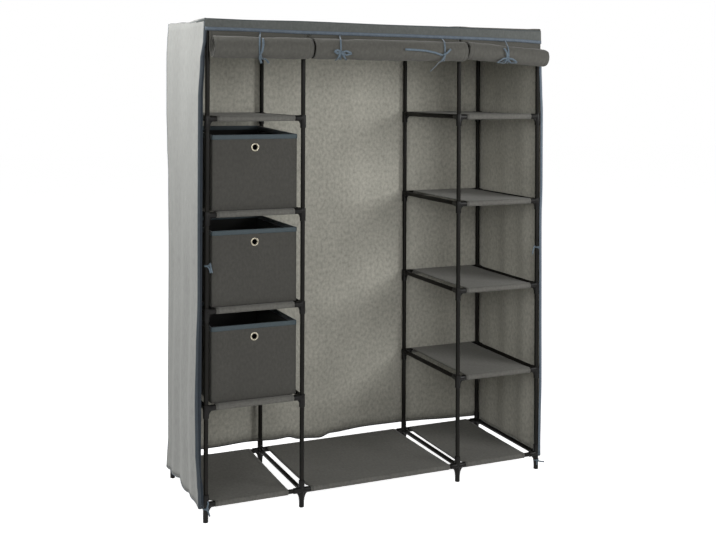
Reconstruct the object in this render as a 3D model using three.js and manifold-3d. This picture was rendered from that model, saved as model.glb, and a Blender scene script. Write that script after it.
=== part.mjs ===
// Fabric wardrobe on a frame of thin tubes: two columns of shelves beside a hanging bay, three
// drawers in the left column, and a cloth cover whose three front doors roll up.
// Millimetres, +Z up, front towards -Y, left and right as seen from the front.

import * as THREE from "three";
import { mergeVertices } from "three/addons/utils/BufferGeometryUtils.js";
import Module from "manifold-3d";

const wasm = await Module();
wasm.setup();

// Frame grid, between the axes of the tubes
const sideColumnWidth = 350;
const centreBayWidth = 630;
const frameDepth = 460;
const baseRailHeight = 60;
const topRailHeight = 1710;
const levelCount = 6;

// Tubes
const tubeDiameter = 16;
const tubeWall = 0.6;
const tubeSides = 8;

// Clearances and the overrun of every cut
const fitGap = 0.3;
const clothGap = 0.4;
const cutOverrun = 5;

// Connectors: an upright sleeve, sockets for the rails and a curved gusset under each socket
const sleeveWall = 2.2;
const socketWall = 1.9;
const socketReach = 31;
const socketStop = 12;
const sleeveLong = 35;
const sleeveShort = 10.5;
const capThickness = 3.5;
const gussetReach = 24;
const gussetDrop = 30;
const gussetThickness = 7.4;
const gussetSteps = 2;
const gussetPinchShare = 0.22;

// Feet
const footDiameter = 18.6;
const footSeat = 12;
const footGussetReach = 25;
const footGussetDrop = 36;
const hangerSocketWidth = 44;

// Shelf cloths, each with a sleeve round its front rail and one round its back rail
const shelfSleeveWall = 2.2;
const shelfDeckThickness = 3;
const shelfEndGap = 1;

// Drawers: a cloth covered box, the binding on its rim and the eyelet that is its pull
const drawerWidth = 312;
const drawerHeadroom = 67;
const drawerDepth = 440;
const drawerSetback = 8;
const drawerWall = 3;
const drawerCornerRadius = 5;
const drawerCornerSteps = 2;
const drawerLevels = { bottom: 1, middle: 2, top: 3 };
const bindingHeight = 16;
const bindingThickness = 1;
const eyeletHoleDiameter = 19;
const eyeletBarrelWall = 1.2;
const eyeletFlangeDiameter = 30;
const eyeletBackFlangeDiameter = 26;
const eyeletFlangeThickness = 0.9;
const eyeletDrop = 44;
const eyeletSides = 12;

// Cover
const coverOffset = 14.5;
const clothThickness = 1;
const valanceHeight = 43;
const valanceRound = 4;
const valanceRoundSteps = 2;
const valanceWave = 1.2;
const valanceWaves = 5;
const roofSag = 1;
const roofRows = 12;
const roofColumns = 4;
const sideHemHeight = 50;
const backHemHeight = 85;
const returnEndOffset = 11.5;
const returnSetForward = 8;
const leftEdgeFlare = 19;
const rightEdgeFlare = 1;
const edgeFlareShares = [0.1, 0.85, 1, 0.85, 0.7, 0.6, 0.5, 0.35, 0];
const sideFoldDepth = 11;
const sideFoldWaves = 3.5;
const sideColumns = 14;
const sideRows = 8;
const backFoldDepth = 7;
const backFoldWaves = 6;
const backColumns = 24;
const backRows = 4;
const foldFadeShare = 0.12;

// Doors, rolled up under the valance
const doorClothThickness = 1;
const rollDiameter = 80;
const rightRollDiameter = 72;
const rollCoreDiameter = 16;
const rollTurns = 4;
const rollTurnSteps = 14;
const layerGap = 1.2;
const rollDrop = 83;
const rightRollDrop = 90;
const rightRollDroop = 25;
const doorSeamOffset = 20;
const doorSeamGap = 2;
const rightDoorOverhang = 28;

// Ties that hold the rolls
const tieWidth = 10;
const tieThickness = 0.8;
const tieSteps = 9;
const tieBendDrop = 4;
const leftTieShares = [0.5];
const centreTieShares = [0.18, 0.84];
const rightTieShares = [0.48];

// Radii, heights and places worked out from the sizes above
const tubeRadius = tubeDiameter / 2;
const boreRadius = tubeRadius + fitGap;
const sleeveRadius = boreRadius + sleeveWall;
const socketRadius = boreRadius + socketWall;
const shelfSleeveRadius = boreRadius + shelfSleeveWall;
const flatShare = Math.cos(Math.PI / tubeSides);
const shelfTop = shelfSleeveRadius * flatShare;
const outerPostX = centreBayWidth / 2 + sideColumnWidth;
const innerPostX = centreBayWidth / 2;
const columnX = (outerPostX + innerPostX) / 2;
const halfDepth = frameDepth / 2;
const levelSpacing = (topRailHeight - baseRailHeight) / (levelCount - 1);
const drawerHeight = levelSpacing - drawerHeadroom;
const roofUnderside = topRailHeight + sleeveShort + fitGap;

// Planes at the front, each just in front of the one before
const tieBackPlane = halfDepth + sleeveRadius + clothGap;
const doorPlane = tieBackPlane + tieThickness + clothGap;
const rollPlane = doorPlane + doorClothThickness + clothGap;
const valancePlane = rollPlane + tieThickness + clothGap;
const seamHeight = roofUnderside - roofSag - fitGap;
const valanceEdge = roofUnderside + clothThickness - valanceHeight;

const finishes = {
  frame: { color: 0x1e1c19, roughness: 0.5, metalness: 0.2 },
  tube: { color: 0x1b1917, roughness: 0.4, metalness: 0.4 },
  shelf: { color: 0x494844, roughness: 0.95, metalness: 0 },
  drawer: { color: 0x45443f, roughness: 0.95, metalness: 0 },
  binding: { color: 0x495459, roughness: 0.9, metalness: 0 },
  eyelet: { color: 0xc9c4b4, roughness: 0.25, metalness: 0.9 },
  cover: { color: 0x8d8d87, roughness: 0.95, metalness: 0 },
  roof: { color: 0x5f5e59, roughness: 0.95, metalness: 0 },
  door: { color: 0x5b5a55, roughness: 0.95, metalness: 0 },
  tie: { color: 0x5a738c, roughness: 0.8, metalness: 0 },
};

const wardrobe = new THREE.Group();

function addPart(name, geometry, finish, x = 0, y = 0, z = 0) {
  const mesh = new THREE.Mesh(geometry, new THREE.MeshStandardMaterial(finishes[finish]));
  mesh.name = name;
  mesh.position.set(x, y, z);
  wardrobe.add(mesh);
}

// One closed surface whose faces share their corners
function closed(geometry) {
  geometry.deleteAttribute("normal");
  geometry.deleteAttribute("uv");
  const shared = mergeVertices(geometry);
  shared.computeVertexNormals();
  return shared;
}

function toSolid(geometry) {
  const triVerts = Uint32Array.from(geometry.index.array);
  const vertProperties = Float32Array.from(geometry.attributes.position.array);
  return new wasm.Manifold(new wasm.Mesh({ numProp: 3, vertProperties, triVerts }));
}

function toGeometry(solid) {
  const { vertProperties, triVerts } = solid.getMesh();
  const geometry = new THREE.BufferGeometry();
  geometry.setAttribute("position", new THREE.BufferAttribute(vertProperties, 3));
  geometry.setIndex(new THREE.BufferAttribute(triVerts, 1));
  geometry.computeVertexNormals();
  return geometry;
}

const joined = (geometries) => geometries.map(toSolid).reduce((all, next) => all.add(next));

function shaped(additions, cuts) {
  return toGeometry(joined(additions).subtract(joined(cuts)));
}

// A round bar along one axis, from one coordinate to another, with flats facing up and down
function bar(axis, from, to, radius) {
  const length = Math.abs(to - from);
  const turn = Math.PI / tubeSides;
  const cylinder = new THREE.CylinderGeometry(radius, radius, length, tubeSides, 1, false, turn);
  const geometry = closed(cylinder);
  if (axis === "x") geometry.rotateZ(-Math.PI / 2);
  if (axis === "z") geometry.rotateX(Math.PI / 2);
  const middle = new THREE.Vector3();
  middle[axis] = (from + to) / 2;
  return geometry.translate(middle.x, middle.y, middle.z);
}

// A web under a socket, with a hollow curve from the socket's mouth to the sleeve
function gusset(reach, drop) {
  const outline = new THREE.Shape();
  outline.moveTo(0, 0);
  outline.lineTo(reach, 0);
  outline.quadraticCurveTo(reach * gussetPinchShare, -drop * gussetPinchShare, 0, -drop);
  outline.closePath();
  const options = { depth: gussetThickness, bevelEnabled: false, curveSegments: gussetSteps };
  const geometry = closed(new THREE.ExtrudeGeometry(outline, options));
  return geometry.translate(0, 0, -gussetThickness / 2).rotateX(Math.PI / 2);
}

// The solids and bores of a connector. Its sockets point along the given turns about Z.
function connector(kind, socketTurns, blindTurns) {
  const isBase = kind === "base";
  const isTop = kind === "top";
  const low = isBase ? -baseRailHeight : -sleeveLong;
  const high = isBase ? sleeveLong : sleeveShort;
  const additions = [bar("z", isBase ? 0 : low, high, sleeveRadius)];
  if (isBase) additions.push(bar("z", low, 0, footDiameter / 2));
  const reach = isBase ? footGussetReach : gussetReach;
  const drop = isBase ? footGussetDrop : gussetDrop;
  for (const turn of [...socketTurns, ...blindTurns]) {
    additions.push(bar("x", 0, socketReach, socketRadius).rotateZ(turn));
    additions.push(gusset(reach, drop).rotateZ(turn));
  }
  const boreLow = isBase ? -footSeat - fitGap : low - cutOverrun;
  const boreHigh = isTop ? high - capThickness : high + cutOverrun;
  const cuts = [bar("z", boreLow, boreHigh, boreRadius)];
  for (const turn of blindTurns) {
    cuts.push(bar("x", socketStop, socketReach + cutOverrun, boreRadius).rotateZ(turn));
  }
  return { additions, cuts };
}

// Four connectors and the four rails between them. The centre bay lies towards +X times inward.
function ringFrame(kind, inward) {
  const halfWidth = sideColumnWidth / 2;
  const additions = [];
  const cuts = [];
  for (const sideX of [-1, 1]) {
    for (const sideY of [-1, 1]) {
      const alongX = sideX < 0 ? 0 : Math.PI;
      const alongY = (-sideY * Math.PI) / 2;
      const blind = kind !== "middle" && sideX === inward ? [alongX + Math.PI] : [];
      const corner = connector(kind, [alongX, alongY], blind);
      const place = (geometry) => geometry.translate(sideX * halfWidth, sideY * halfDepth, 0);
      additions.push(...corner.additions.map(place));
      cuts.push(...corner.cuts.map(place));
    }
    additions.push(bar("y", -halfDepth, halfDepth, tubeRadius).translate(sideX * halfWidth, 0, 0));
  }
  for (const sideY of [-1, 1]) {
    additions.push(bar("x", -halfWidth, halfWidth, tubeRadius).translate(0, sideY * halfDepth, 0));
  }
  if (kind === "top") {
    const middleX = inward * halfWidth;
    const reachX = inward * socketReach;
    const halfSocket = hangerSocketWidth / 2;
    additions.push(bar("y", -halfSocket, halfSocket, socketRadius).translate(middleX, 0, 0));
    additions.push(bar("x", 0, reachX, socketRadius).translate(middleX, 0, 0));
    const mouth = inward * (socketReach + cutOverrun);
    cuts.push(bar("x", inward * socketStop, mouth, boreRadius).translate(middleX, 0, 0));
  }
  return shaped(additions, cuts);
}

function hollowTube(axis, length) {
  const half = length / 2;
  const outside = [bar(axis, -half, half, tubeRadius)];
  return shaped(outside, [bar(axis, -half - cutOverrun, half + cutOverrun, tubeRadius - tubeWall)]);
}

// A shelf cloth: a stiffened deck between two sleeves, with the rails' bores through them
function shelfCloth(width) {
  const half = width / 2;
  const deck = new THREE.BoxGeometry(width, frameDepth, shelfDeckThickness);
  deck.translate(0, 0, shelfTop - shelfDeckThickness / 2);
  const additions = [closed(deck)];
  const cuts = [];
  for (const y of [-halfDepth, halfDepth]) {
    additions.push(bar("x", -half, half, shelfSleeveRadius).translate(0, y, 0));
    cuts.push(bar("x", -half - cutOverrun, half + cutOverrun, boreRadius).translate(0, y, 0));
  }
  return shaped(additions, cuts);
}

// A block with rounded upright edges, its middle over the origin, from one height to another
function roundedBlock(width, depth, low, high, radius) {
  const halfWidth = width / 2;
  const halfLength = depth / 2;
  const outline = new THREE.Shape();
  const corners = [
    [halfWidth - radius, halfLength - radius],
    [radius - halfWidth, halfLength - radius],
    [radius - halfWidth, radius - halfLength],
    [halfWidth - radius, radius - halfLength],
  ];
  corners.forEach(([x, y], quarter) => {
    const start = (quarter * Math.PI) / 2;
    outline.absarc(x, y, radius, start, start + Math.PI / 2, false);
  });
  outline.closePath();
  const options = { depth: high - low, bevelEnabled: false, curveSegments: drawerCornerSteps };
  return closed(new THREE.ExtrudeGeometry(outline, options)).translate(0, 0, low);
}

const bindingLift = fitGap + bindingThickness;
const drawerBoxHeight = drawerHeight - bindingLift;
const eyeletHeight = drawerHeight - eyeletDrop;
const eyeletBarrelRadius = eyeletHoleDiameter / 2 + eyeletBarrelWall;

// A block that stands a given distance outside the drawer's box, or inside it where negative
function drawerBlock(outset, low, high) {
  const grow = 2 * outset;
  const radius = Math.max(drawerCornerRadius + outset, drawerWall / 2);
  return roundedBlock(drawerWidth + grow, drawerDepth + grow, low, high, radius);
}

function drawerBox() {
  const radius = eyeletBarrelRadius + fitGap;
  const length = drawerWall + 2 * cutOverrun;
  const hole = closed(new THREE.CylinderGeometry(radius, radius, length, eyeletSides));
  hole.translate(0, -drawerDepth / 2, eyeletHeight);
  const hollow = drawerBlock(-drawerWall, drawerWall, drawerBoxHeight + cutOverrun);
  return shaped([drawerBlock(0, 0, drawerBoxHeight)], [hollow, hole]);
}

// The folded tape over the rim, open below where it straddles the wall of the box
function drawerBinding() {
  const low = drawerHeight - bindingHeight;
  const inside = -drawerWall - bindingLift;
  const wallTop = drawerBoxHeight + fitGap;
  const slot = toSolid(drawerBlock(fitGap, low - cutOverrun, wallTop)).subtract(
    toSolid(drawerBlock(-drawerWall - fitGap, low - cutOverrun, wallTop)),
  );
  const hollow = toSolid(drawerBlock(inside, low - cutOverrun, drawerHeight + cutOverrun));
  const outside = toSolid(drawerBlock(bindingLift, low, drawerHeight));
  return toGeometry(outside.subtract(hollow).subtract(slot));
}

// A barrel through the front wall with a flange on each face of it, revolved about its axis
function drawerEyelet() {
  const hole = eyeletHoleDiameter / 2;
  const barrel = eyeletBarrelRadius;
  const face = fitGap;
  const front = face + eyeletFlangeThickness;
  const back = -drawerWall - fitGap;
  const end = back - eyeletFlangeThickness;
  const profile = [
    [hole, end],
    [eyeletBackFlangeDiameter / 2, end],
    [eyeletBackFlangeDiameter / 2, back],
    [barrel, back],
    [barrel, face],
    [eyeletFlangeDiameter / 2, face],
    [(barrel + eyeletFlangeDiameter / 2) / 2, front],
    [hole, front],
    [hole, end],
  ].map(([radius, along]) => new THREE.Vector2(radius, along));
  const geometry = closed(new THREE.LatheGeometry(profile, eyeletSides));
  return geometry.rotateX(Math.PI);
}

// Evenly spaced values from one to another, both included
const spread = (from, to, count) =>
  Array.from({ length: count + 1 }, (_, index) => from + ((to - from) * index) / count);

// The line at a given distance to the left of a line of points
function offsetLine(points, distance) {
  return points.map((point, index) => {
    const before = points[Math.max(index - 1, 0)];
    const after = points[Math.min(index + 1, points.length - 1)];
    const into = point.clone().sub(before).normalize();
    const out = after.clone().sub(point).normalize();
    const first = index === 0 ? out : into;
    const last = index === points.length - 1 ? into : out;
    const along = first.clone().add(last).normalize();
    const reach = distance / along.dot(first);
    return new THREE.Vector2(point.x - along.y * reach, point.y + along.x * reach);
  });
}

// A sheet of cloth that stands on a line of points, in rows, with every corner moved by a rule.
// Its wall along the line and its wall along the offset line are split into triangles alike.
function clothSheet(line, thickness, height, rows, moved) {
  const outline = [...line, ...offsetLine(line, thickness)];
  const positions = [];
  const corner = new THREE.Vector3();
  for (const z of spread(0, height, rows)) {
    for (const point of outline) {
      corner.set(point.x, point.y, z);
      moved(corner);
      positions.push(corner.x, corner.y, corner.z);
    }
  }
  const indices = [];
  const triangle = (a, b, c) => indices.push(...(thickness > 0 ? [a, b, c] : [c, b, a]));
  const panel = (a, b, c, d) => {
    triangle(a, b, c);
    triangle(a, c, d);
  };
  const last = line.length - 1;
  const at = (row, index, away) => row * outline.length + away * line.length + index;
  for (let row = 0; row < rows; row += 1) {
    for (let index = 0; index < last; index += 1) {
      const next = index + 1;
      const above = row + 1;
      panel(at(row, index, 0), at(row, next, 0), at(above, next, 0), at(above, index, 0));
      panel(at(above, next, 1), at(row, next, 1), at(row, index, 1), at(above, index, 1));
    }
    panel(at(row, 0, 1), at(row, 0, 0), at(row + 1, 0, 0), at(row + 1, 0, 1));
    panel(at(row, last, 0), at(row, last, 1), at(row + 1, last, 1), at(row + 1, last, 0));
  }
  for (let index = 0; index < last; index += 1) {
    panel(at(0, index, 0), at(0, index, 1), at(0, index + 1, 1), at(0, index + 1, 0));
    panel(at(rows, index, 0), at(rows, index + 1, 0), at(rows, index + 1, 1), at(rows, index, 1));
  }
  const geometry = new THREE.BufferGeometry();
  geometry.setAttribute("position", new THREE.Float32BufferAttribute(positions, 3));
  geometry.setIndex(indices);
  geometry.computeVertexNormals();
  return geometry;
}

// The value of a table of evenly spaced shares, from 0 at its start to 1 at its end
function shareAt(shares, place) {
  const scaled = THREE.MathUtils.clamp(place, 0, 1) * (shares.length - 1);
  const index = Math.min(Math.floor(scaled), shares.length - 2);
  return THREE.MathUtils.lerp(shares[index], shares[index + 1], scaled - index);
}

// Folds that start and end flat: 0 in the valleys, 1 on the ridges
function foldShare(place, waves) {
  const fade = Math.min(place, 1 - place) / foldFadeShare;
  const wave = (1 - Math.cos(2 * Math.PI * waves * place)) / 2;
  return wave * THREE.MathUtils.clamp(fade, 0, 1);
}

// A side of the cover, with a narrow return beside the front upright. The cloth hangs outward
// in folds that grow towards the hem, and its front edge flares away from the upright.
function sideCloth(side) {
  const insideX = outerPostX + coverOffset;
  const returnX = outerPostX + returnEndOffset;
  const frontY = -halfDepth - returnSetForward;
  const backY = halfDepth + coverOffset + clothThickness;
  const height = roofUnderside - fitGap - sideHemHeight;
  const edgeFlare = side < 0 ? leftEdgeFlare : rightEdgeFlare;
  const run = spread(frontY, backY, sideColumns).map((y) => new THREE.Vector2(side * insideX, y));
  const line = [new THREE.Vector2(side * returnX, frontY), ...run];
  const moved = (corner) => {
    const along = THREE.MathUtils.clamp((corner.y - frontY) / (backY - frontY), 0, 1);
    const up = corner.z / height;
    const flare = edgeFlare * shareAt(edgeFlareShares, up) * (1 - along);
    const fold = sideFoldDepth * foldShare(along, sideFoldWaves) * Math.sin((Math.PI * (1 - up)) / 2);
    const turned = (Math.abs(corner.x) - returnX) / (insideX - returnX);
    corner.x += side * (flare + fold) * THREE.MathUtils.clamp(turned, 0, 1);
  };
  const thickness = side < 0 ? clothThickness : -clothThickness;
  return clothSheet(line, thickness, height, sideRows, moved);
}

// The back of the cover, between the two sides, in shallow folds that deepen towards the hem
function backCloth() {
  const halfWidth = outerPostX + coverOffset - clothGap;
  const insideY = halfDepth + coverOffset;
  const height = roofUnderside - fitGap - backHemHeight;
  const line = spread(-halfWidth, halfWidth, backColumns).map((x) => new THREE.Vector2(x, insideY));
  const moved = (corner) => {
    const along = (corner.x + halfWidth) / (2 * halfWidth);
    const up = corner.z / height;
    corner.y += backFoldDepth * foldShare(along, backFoldWaves) * (1 - up);
  };
  return clothSheet(line, clothThickness, height, backRows, moved);
}

// Turns a sheet drawn in plan and raised in Z into one drawn from the side and drawn out along X
const asideways = new THREE.Matrix4().makeBasis(
  new THREE.Vector3(0, 1, 0),
  new THREE.Vector3(0, 0, 1),
  new THREE.Vector3(1, 0, 0),
);

// The roof of the cover and, in one piece with it, the valance over the doors
function roofCloth() {
  const halfWidth = outerPostX + coverOffset + clothThickness;
  const width = 2 * halfWidth;
  const frontY = -valancePlane;
  const backY = halfDepth + coverOffset + clothThickness;
  const line = [new THREE.Vector2(frontY, clothThickness - valanceHeight)];
  for (const share of spread(0, 1, valanceRoundSteps)) {
    const angle = Math.PI - (share * Math.PI) / 2;
    const y = frontY + valanceRound * (1 + Math.cos(angle));
    line.push(new THREE.Vector2(y, valanceRound * (Math.sin(angle) - 1)));
  }
  const run = spread(frontY + valanceRound, backY, roofColumns).slice(1);
  line.push(...run.map((y) => new THREE.Vector2(y, 0)));
  const moved = (corner) => {
    const along = corner.z / width;
    const deep = THREE.MathUtils.clamp((corner.x - frontY) / (backY - frontY), 0, 1);
    const down = THREE.MathUtils.clamp(-corner.y / valanceHeight, 0, 1);
    corner.x -= valanceWave * foldShare(along, valanceWaves) * down;
    corner.y -= roofSag * Math.sin(Math.PI * deep) * (1 - down) * foldShare(along, 1);
  };
  const geometry = clothSheet(line, clothThickness, width, roofRows, moved);
  return geometry.applyMatrix4(asideways).translate(-halfWidth, 0, 0);
}

// The three doors: where each starts and ends, its roll's size and where its roll hangs
const seamX = doorSeamGap / 2;
const doors = [
  {
    name: "door_left",
    from: -outerPostX,
    to: doorSeamOffset - innerPostX - seamX,
    diameter: rollDiameter,
    drop: rollDrop,
    droop: 0,
    tieShares: leftTieShares,
  },
  {
    name: "door_centre",
    from: doorSeamOffset - innerPostX + seamX,
    to: innerPostX + doorSeamOffset - seamX,
    diameter: rollDiameter,
    drop: rollDrop,
    droop: 0,
    tieShares: centreTieShares,
  },
  {
    name: "door_right",
    from: innerPostX + doorSeamOffset + seamX,
    to: outerPostX + rightDoorOverhang,
    diameter: rightRollDiameter,
    drop: rightRollDrop,
    droop: rightRollDroop,
    tieShares: rightTieShares,
  },
];

const doorMiddle = (door) => (door.from + door.to) / 2;
const doorTilt = (door) => Math.atan2(door.droop, door.to - door.from);

// The height of a roll's axis at a place along it
function rollAxisHeight(door, x) {
  return topRailHeight - door.drop - Math.tan(doorTilt(door)) * (x - doorMiddle(door));
}

// A door wound up from its hem: it comes down at the back, under, up the front and over, and
// winds in towards the core. The outermost turn ends at the back, where the door leaves it.
function doorRoll(door) {
  const radius = door.diameter / 2;
  const pitch = (radius - rollCoreDiameter / 2 + layerGap) / (rollTurns + 1);
  const thickness = pitch - layerGap;
  const steps = rollTurns * rollTurnSteps;
  const line = spread(0, rollTurns, steps).map((turn) => {
    const angle = -2 * Math.PI * turn;
    const reach = radius - pitch * turn;
    return new THREE.Vector2(reach * Math.cos(angle), reach * Math.sin(angle));
  });
  const inner = line.map((point) => point.clone().setLength(point.length() - thickness));
  const outline = new THREE.Shape([...line, ...inner.reverse()]);
  const tilt = doorTilt(door);
  const length = (door.to - door.from) / Math.cos(tilt) - door.diameter * Math.tan(tilt);
  const options = { depth: length, bevelEnabled: false };
  const geometry = closed(new THREE.ExtrudeGeometry(outline, options));
  geometry.translate(0, 0, -length / 2).applyMatrix4(asideways);
  return geometry.rotateY(tilt);
}

// The stretch of the door that still hangs between the seam under the roof and the roll
function doorWeb(door) {
  const outline = new THREE.Shape([
    new THREE.Vector2(door.from, rollAxisHeight(door, door.from)),
    new THREE.Vector2(door.to, rollAxisHeight(door, door.to)),
    new THREE.Vector2(door.to, seamHeight),
    new THREE.Vector2(door.from, seamHeight),
  ]);
  const options = { depth: doorClothThickness, bevelEnabled: false };
  return closed(new THREE.ExtrudeGeometry(outline, options)).rotateX(Math.PI / 2);
}

// A ribbon from the seam down behind the door, under the roll, up its front and over its top,
// then back under the valance and up to the seam again. Its flats touch a circle round the roll.
function rollTie(door, axisHeight) {
  const radius = door.diameter / 2;
  const inside = radius + clothGap;
  const back = rollPlane + radius - tieBackPlane - tieThickness;
  const top = seamHeight - valanceRound - axisHeight;
  const bend = new THREE.Vector2(radius, valanceEdge - tieBendDrop - axisHeight);
  const turned = 2 * Math.PI - bend.angle() - Math.acos(inside / bend.length());
  const step = turned / (tieSteps + 1 / 2);
  const reach = inside / Math.cos(step / 2);
  const line = [new THREE.Vector2(back, top), new THREE.Vector2(back, -clothGap)];
  for (const angle of spread(-step / 2, -turned, tieSteps)) {
    line.push(new THREE.Vector2(reach * Math.cos(angle), reach * Math.sin(angle)));
  }
  line.push(bend, new THREE.Vector2(bend.x, top));
  const ribbon = clothSheet(line, tieThickness, tieWidth, 1, () => {});
  return ribbon.applyMatrix4(asideways).translate(-tieWidth / 2, 0, 0);
}

for (const [column, inward] of [["left", 1], ["right", -1]]) {
  const x = -inward * columnX;
  for (let level = 0; level < levelCount; level += 1) {
    const isTop = level === levelCount - 1;
    const kind = level === 0 ? "base" : isTop ? "top" : "middle";
    const z = baseRailHeight + level * levelSpacing;
    addPart(`${column}_frame_${level}`, ringFrame(kind, inward), "frame", x, 0, z);
    if (!isTop) {
      const width = sideColumnWidth - 2 * (socketReach + shelfEndGap);
      addPart(`${column}_shelf_${level}`, shelfCloth(width), "shelf", x, 0, z);
    }
  }
  const uprightLow = baseRailHeight - footSeat;
  const uprightHigh = topRailHeight + sleeveShort - capThickness - fitGap;
  for (const [post, postX] of [["outer", outerPostX], ["inner", innerPostX]]) {
    for (const [row, postY] of [["front", -halfDepth], ["back", halfDepth]]) {
      const middle = (uprightLow + uprightHigh) / 2;
      const tube = hollowTube("z", uprightHigh - uprightLow);
      addPart(`${column}_upright_${post}_${row}`, tube, "tube", -inward * postX, postY, middle);
    }
  }
}

const centreRailLength = centreBayWidth - 2 * (socketStop + fitGap);
for (const [level, z] of [["base", baseRailHeight], ["top", topRailHeight]]) {
  for (const [row, y] of [["front", -halfDepth], ["back", halfDepth]]) {
    addPart(`centre_rail_${level}_${row}`, hollowTube("x", centreRailLength), "tube", 0, y, z);
  }
}
addPart("hanging_rail", hollowTube("x", centreRailLength), "tube", 0, 0, topRailHeight);
const centreShelfWidth = centreBayWidth - 2 * (socketReach + shelfEndGap);
addPart("centre_shelf", shelfCloth(centreShelfWidth), "shelf", 0, 0, baseRailHeight);

const drawerY = drawerSetback - halfDepth + drawerDepth / 2;
for (const [place, level] of Object.entries(drawerLevels)) {
  const z = baseRailHeight + level * levelSpacing + shelfTop + fitGap;
  addPart(`drawer_${place}_box`, drawerBox(), "drawer", -columnX, drawerY, z);
  addPart(`drawer_${place}_binding`, drawerBinding(), "binding", -columnX, drawerY, z);
  const frontY = drawerY - drawerDepth / 2;
  addPart(`drawer_${place}_eyelet`, drawerEyelet(), "eyelet", -columnX, frontY, z + eyeletHeight);
}

addPart("cover_roof", roofCloth(), "roof", 0, 0, roofUnderside);
addPart("cover_side_left", sideCloth(-1), "cover", 0, 0, sideHemHeight);
addPart("cover_side_right", sideCloth(1), "cover", 0, 0, sideHemHeight);
addPart("cover_back", backCloth(), "cover", 0, 0, backHemHeight);

for (const door of doors) {
  const axisY = -rollPlane - door.diameter / 2;
  const middle = doorMiddle(door);
  const axisZ = rollAxisHeight(door, middle);
  addPart(`${door.name}_roll`, doorRoll(door), "door", middle, axisY, axisZ);
  addPart(`${door.name}_web`, doorWeb(door), "door", 0, -doorPlane, 0);
  door.tieShares.forEach((share, index) => {
    const x = THREE.MathUtils.lerp(door.from, door.to, share);
    const z = rollAxisHeight(door, x);
    addPart(`${door.name}_tie_${index + 1}`, rollTie(door, z), "tie", x, axisY, z);
  });
}

// The origin is on the floor, under the middle of the whole wardrobe
const bounds = new THREE.Box3().setFromObject(wardrobe);
const middle = bounds.getCenter(new THREE.Vector3());
wardrobe.position.set(-middle.x, -middle.y, -bounds.min.z);
wardrobe.updateMatrixWorld(true);

export default wardrobe;
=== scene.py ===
"""Portable fabric wardrobe: a push-fit tube frame, shelf cloths, drawers and a cloth cover with rolled doors.

Every length is in metres. The places of the posts, levels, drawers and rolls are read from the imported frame,
so that each piece stands where its solid stands.
"""

import logging
import math
import random
from contextlib import contextmanager
from dataclasses import dataclass, field
from enum import Enum
from typing import Callable, Iterable, Iterator, Mapping, Sequence

import bmesh
import bpy
from mathutils import Matrix, Vector


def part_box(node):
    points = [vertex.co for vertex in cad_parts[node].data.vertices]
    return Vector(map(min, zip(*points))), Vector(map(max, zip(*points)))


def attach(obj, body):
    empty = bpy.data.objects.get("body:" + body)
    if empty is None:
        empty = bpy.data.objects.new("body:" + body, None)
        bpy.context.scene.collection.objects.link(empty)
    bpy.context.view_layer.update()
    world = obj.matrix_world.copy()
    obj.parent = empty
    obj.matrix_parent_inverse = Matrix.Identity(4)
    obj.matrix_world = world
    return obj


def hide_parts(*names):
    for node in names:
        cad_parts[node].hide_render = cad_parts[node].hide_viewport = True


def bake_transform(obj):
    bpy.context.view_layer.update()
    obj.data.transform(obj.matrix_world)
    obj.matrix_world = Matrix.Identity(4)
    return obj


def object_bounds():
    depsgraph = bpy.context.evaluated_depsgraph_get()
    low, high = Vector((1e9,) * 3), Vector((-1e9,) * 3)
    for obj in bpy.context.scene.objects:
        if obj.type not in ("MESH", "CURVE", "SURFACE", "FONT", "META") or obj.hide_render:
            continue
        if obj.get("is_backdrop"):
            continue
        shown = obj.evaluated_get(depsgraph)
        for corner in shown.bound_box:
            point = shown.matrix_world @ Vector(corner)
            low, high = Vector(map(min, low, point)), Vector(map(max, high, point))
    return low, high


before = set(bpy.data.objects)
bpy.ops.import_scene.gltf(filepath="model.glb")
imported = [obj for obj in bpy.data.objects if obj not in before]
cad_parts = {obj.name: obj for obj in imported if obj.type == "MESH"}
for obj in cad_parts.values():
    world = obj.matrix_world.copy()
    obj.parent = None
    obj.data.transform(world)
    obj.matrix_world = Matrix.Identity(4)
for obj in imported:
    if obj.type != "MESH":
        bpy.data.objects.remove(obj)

CAD_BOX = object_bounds()
MM = 0.001
FULL_TURN = 2 * math.pi
QUARTER = math.pi / 2
FOLD_FADE_SHARE = 0.12  # the share of a cloth's width over which its folds die out at each edge
RIPPLE_WAVES = 4
log = logging.getLogger("wardrobe")

Profile = Sequence[tuple[float, float]]
Spots = Sequence[tuple[float, float, float]]
Grid = list[list[Vector]]
Piece = bpy.types.Object
Material = bpy.types.Material
Node = bpy.types.ShaderNode
Socket = bpy.types.NodeSocket


class Side(Enum):
    """The two shelf columns, and the sides of the cover beside them."""

    LEFT = -1
    RIGHT = 1

    @property
    def label(self) -> str:
        """The side's name, as the frame's nodes write it."""
        return self.name.lower()

    @property
    def cover(self) -> str:
        """The node of the cover's side there."""
        return f"cover_side_{self.label}"


class Kind(Enum):
    """The three kinds of moulded connector, by their level in a column."""

    BASE = "base"
    MIDDLE = "middle"
    TOP = "top"


# Small sums


def clamp(value: float, low: float = 0.0, high: float = 1.0) -> float:
    """A value kept between two limits."""
    return min(max(value, low), high)


def ease(share: float) -> float:
    """Smooth a share from 0 to 1, level at both ends."""
    share = clamp(share)
    return share * share * (3 - 2 * share)


def between(marks: Profile, place: float) -> float:
    """Read a value off a line of marks.

    Args:
        marks: Places and their values, in rising order of place.
        place: Where to read.

    Returns:
        The value there, smoothed from mark to mark.
    """
    if place <= marks[0][0]:
        return marks[0][1]
    for (low, first), (high, second) in zip(marks, marks[1:]):
        if place <= high:
            return first + (second - first) * ease((place - low) / (high - low))
    return marks[-1][1]


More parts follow.
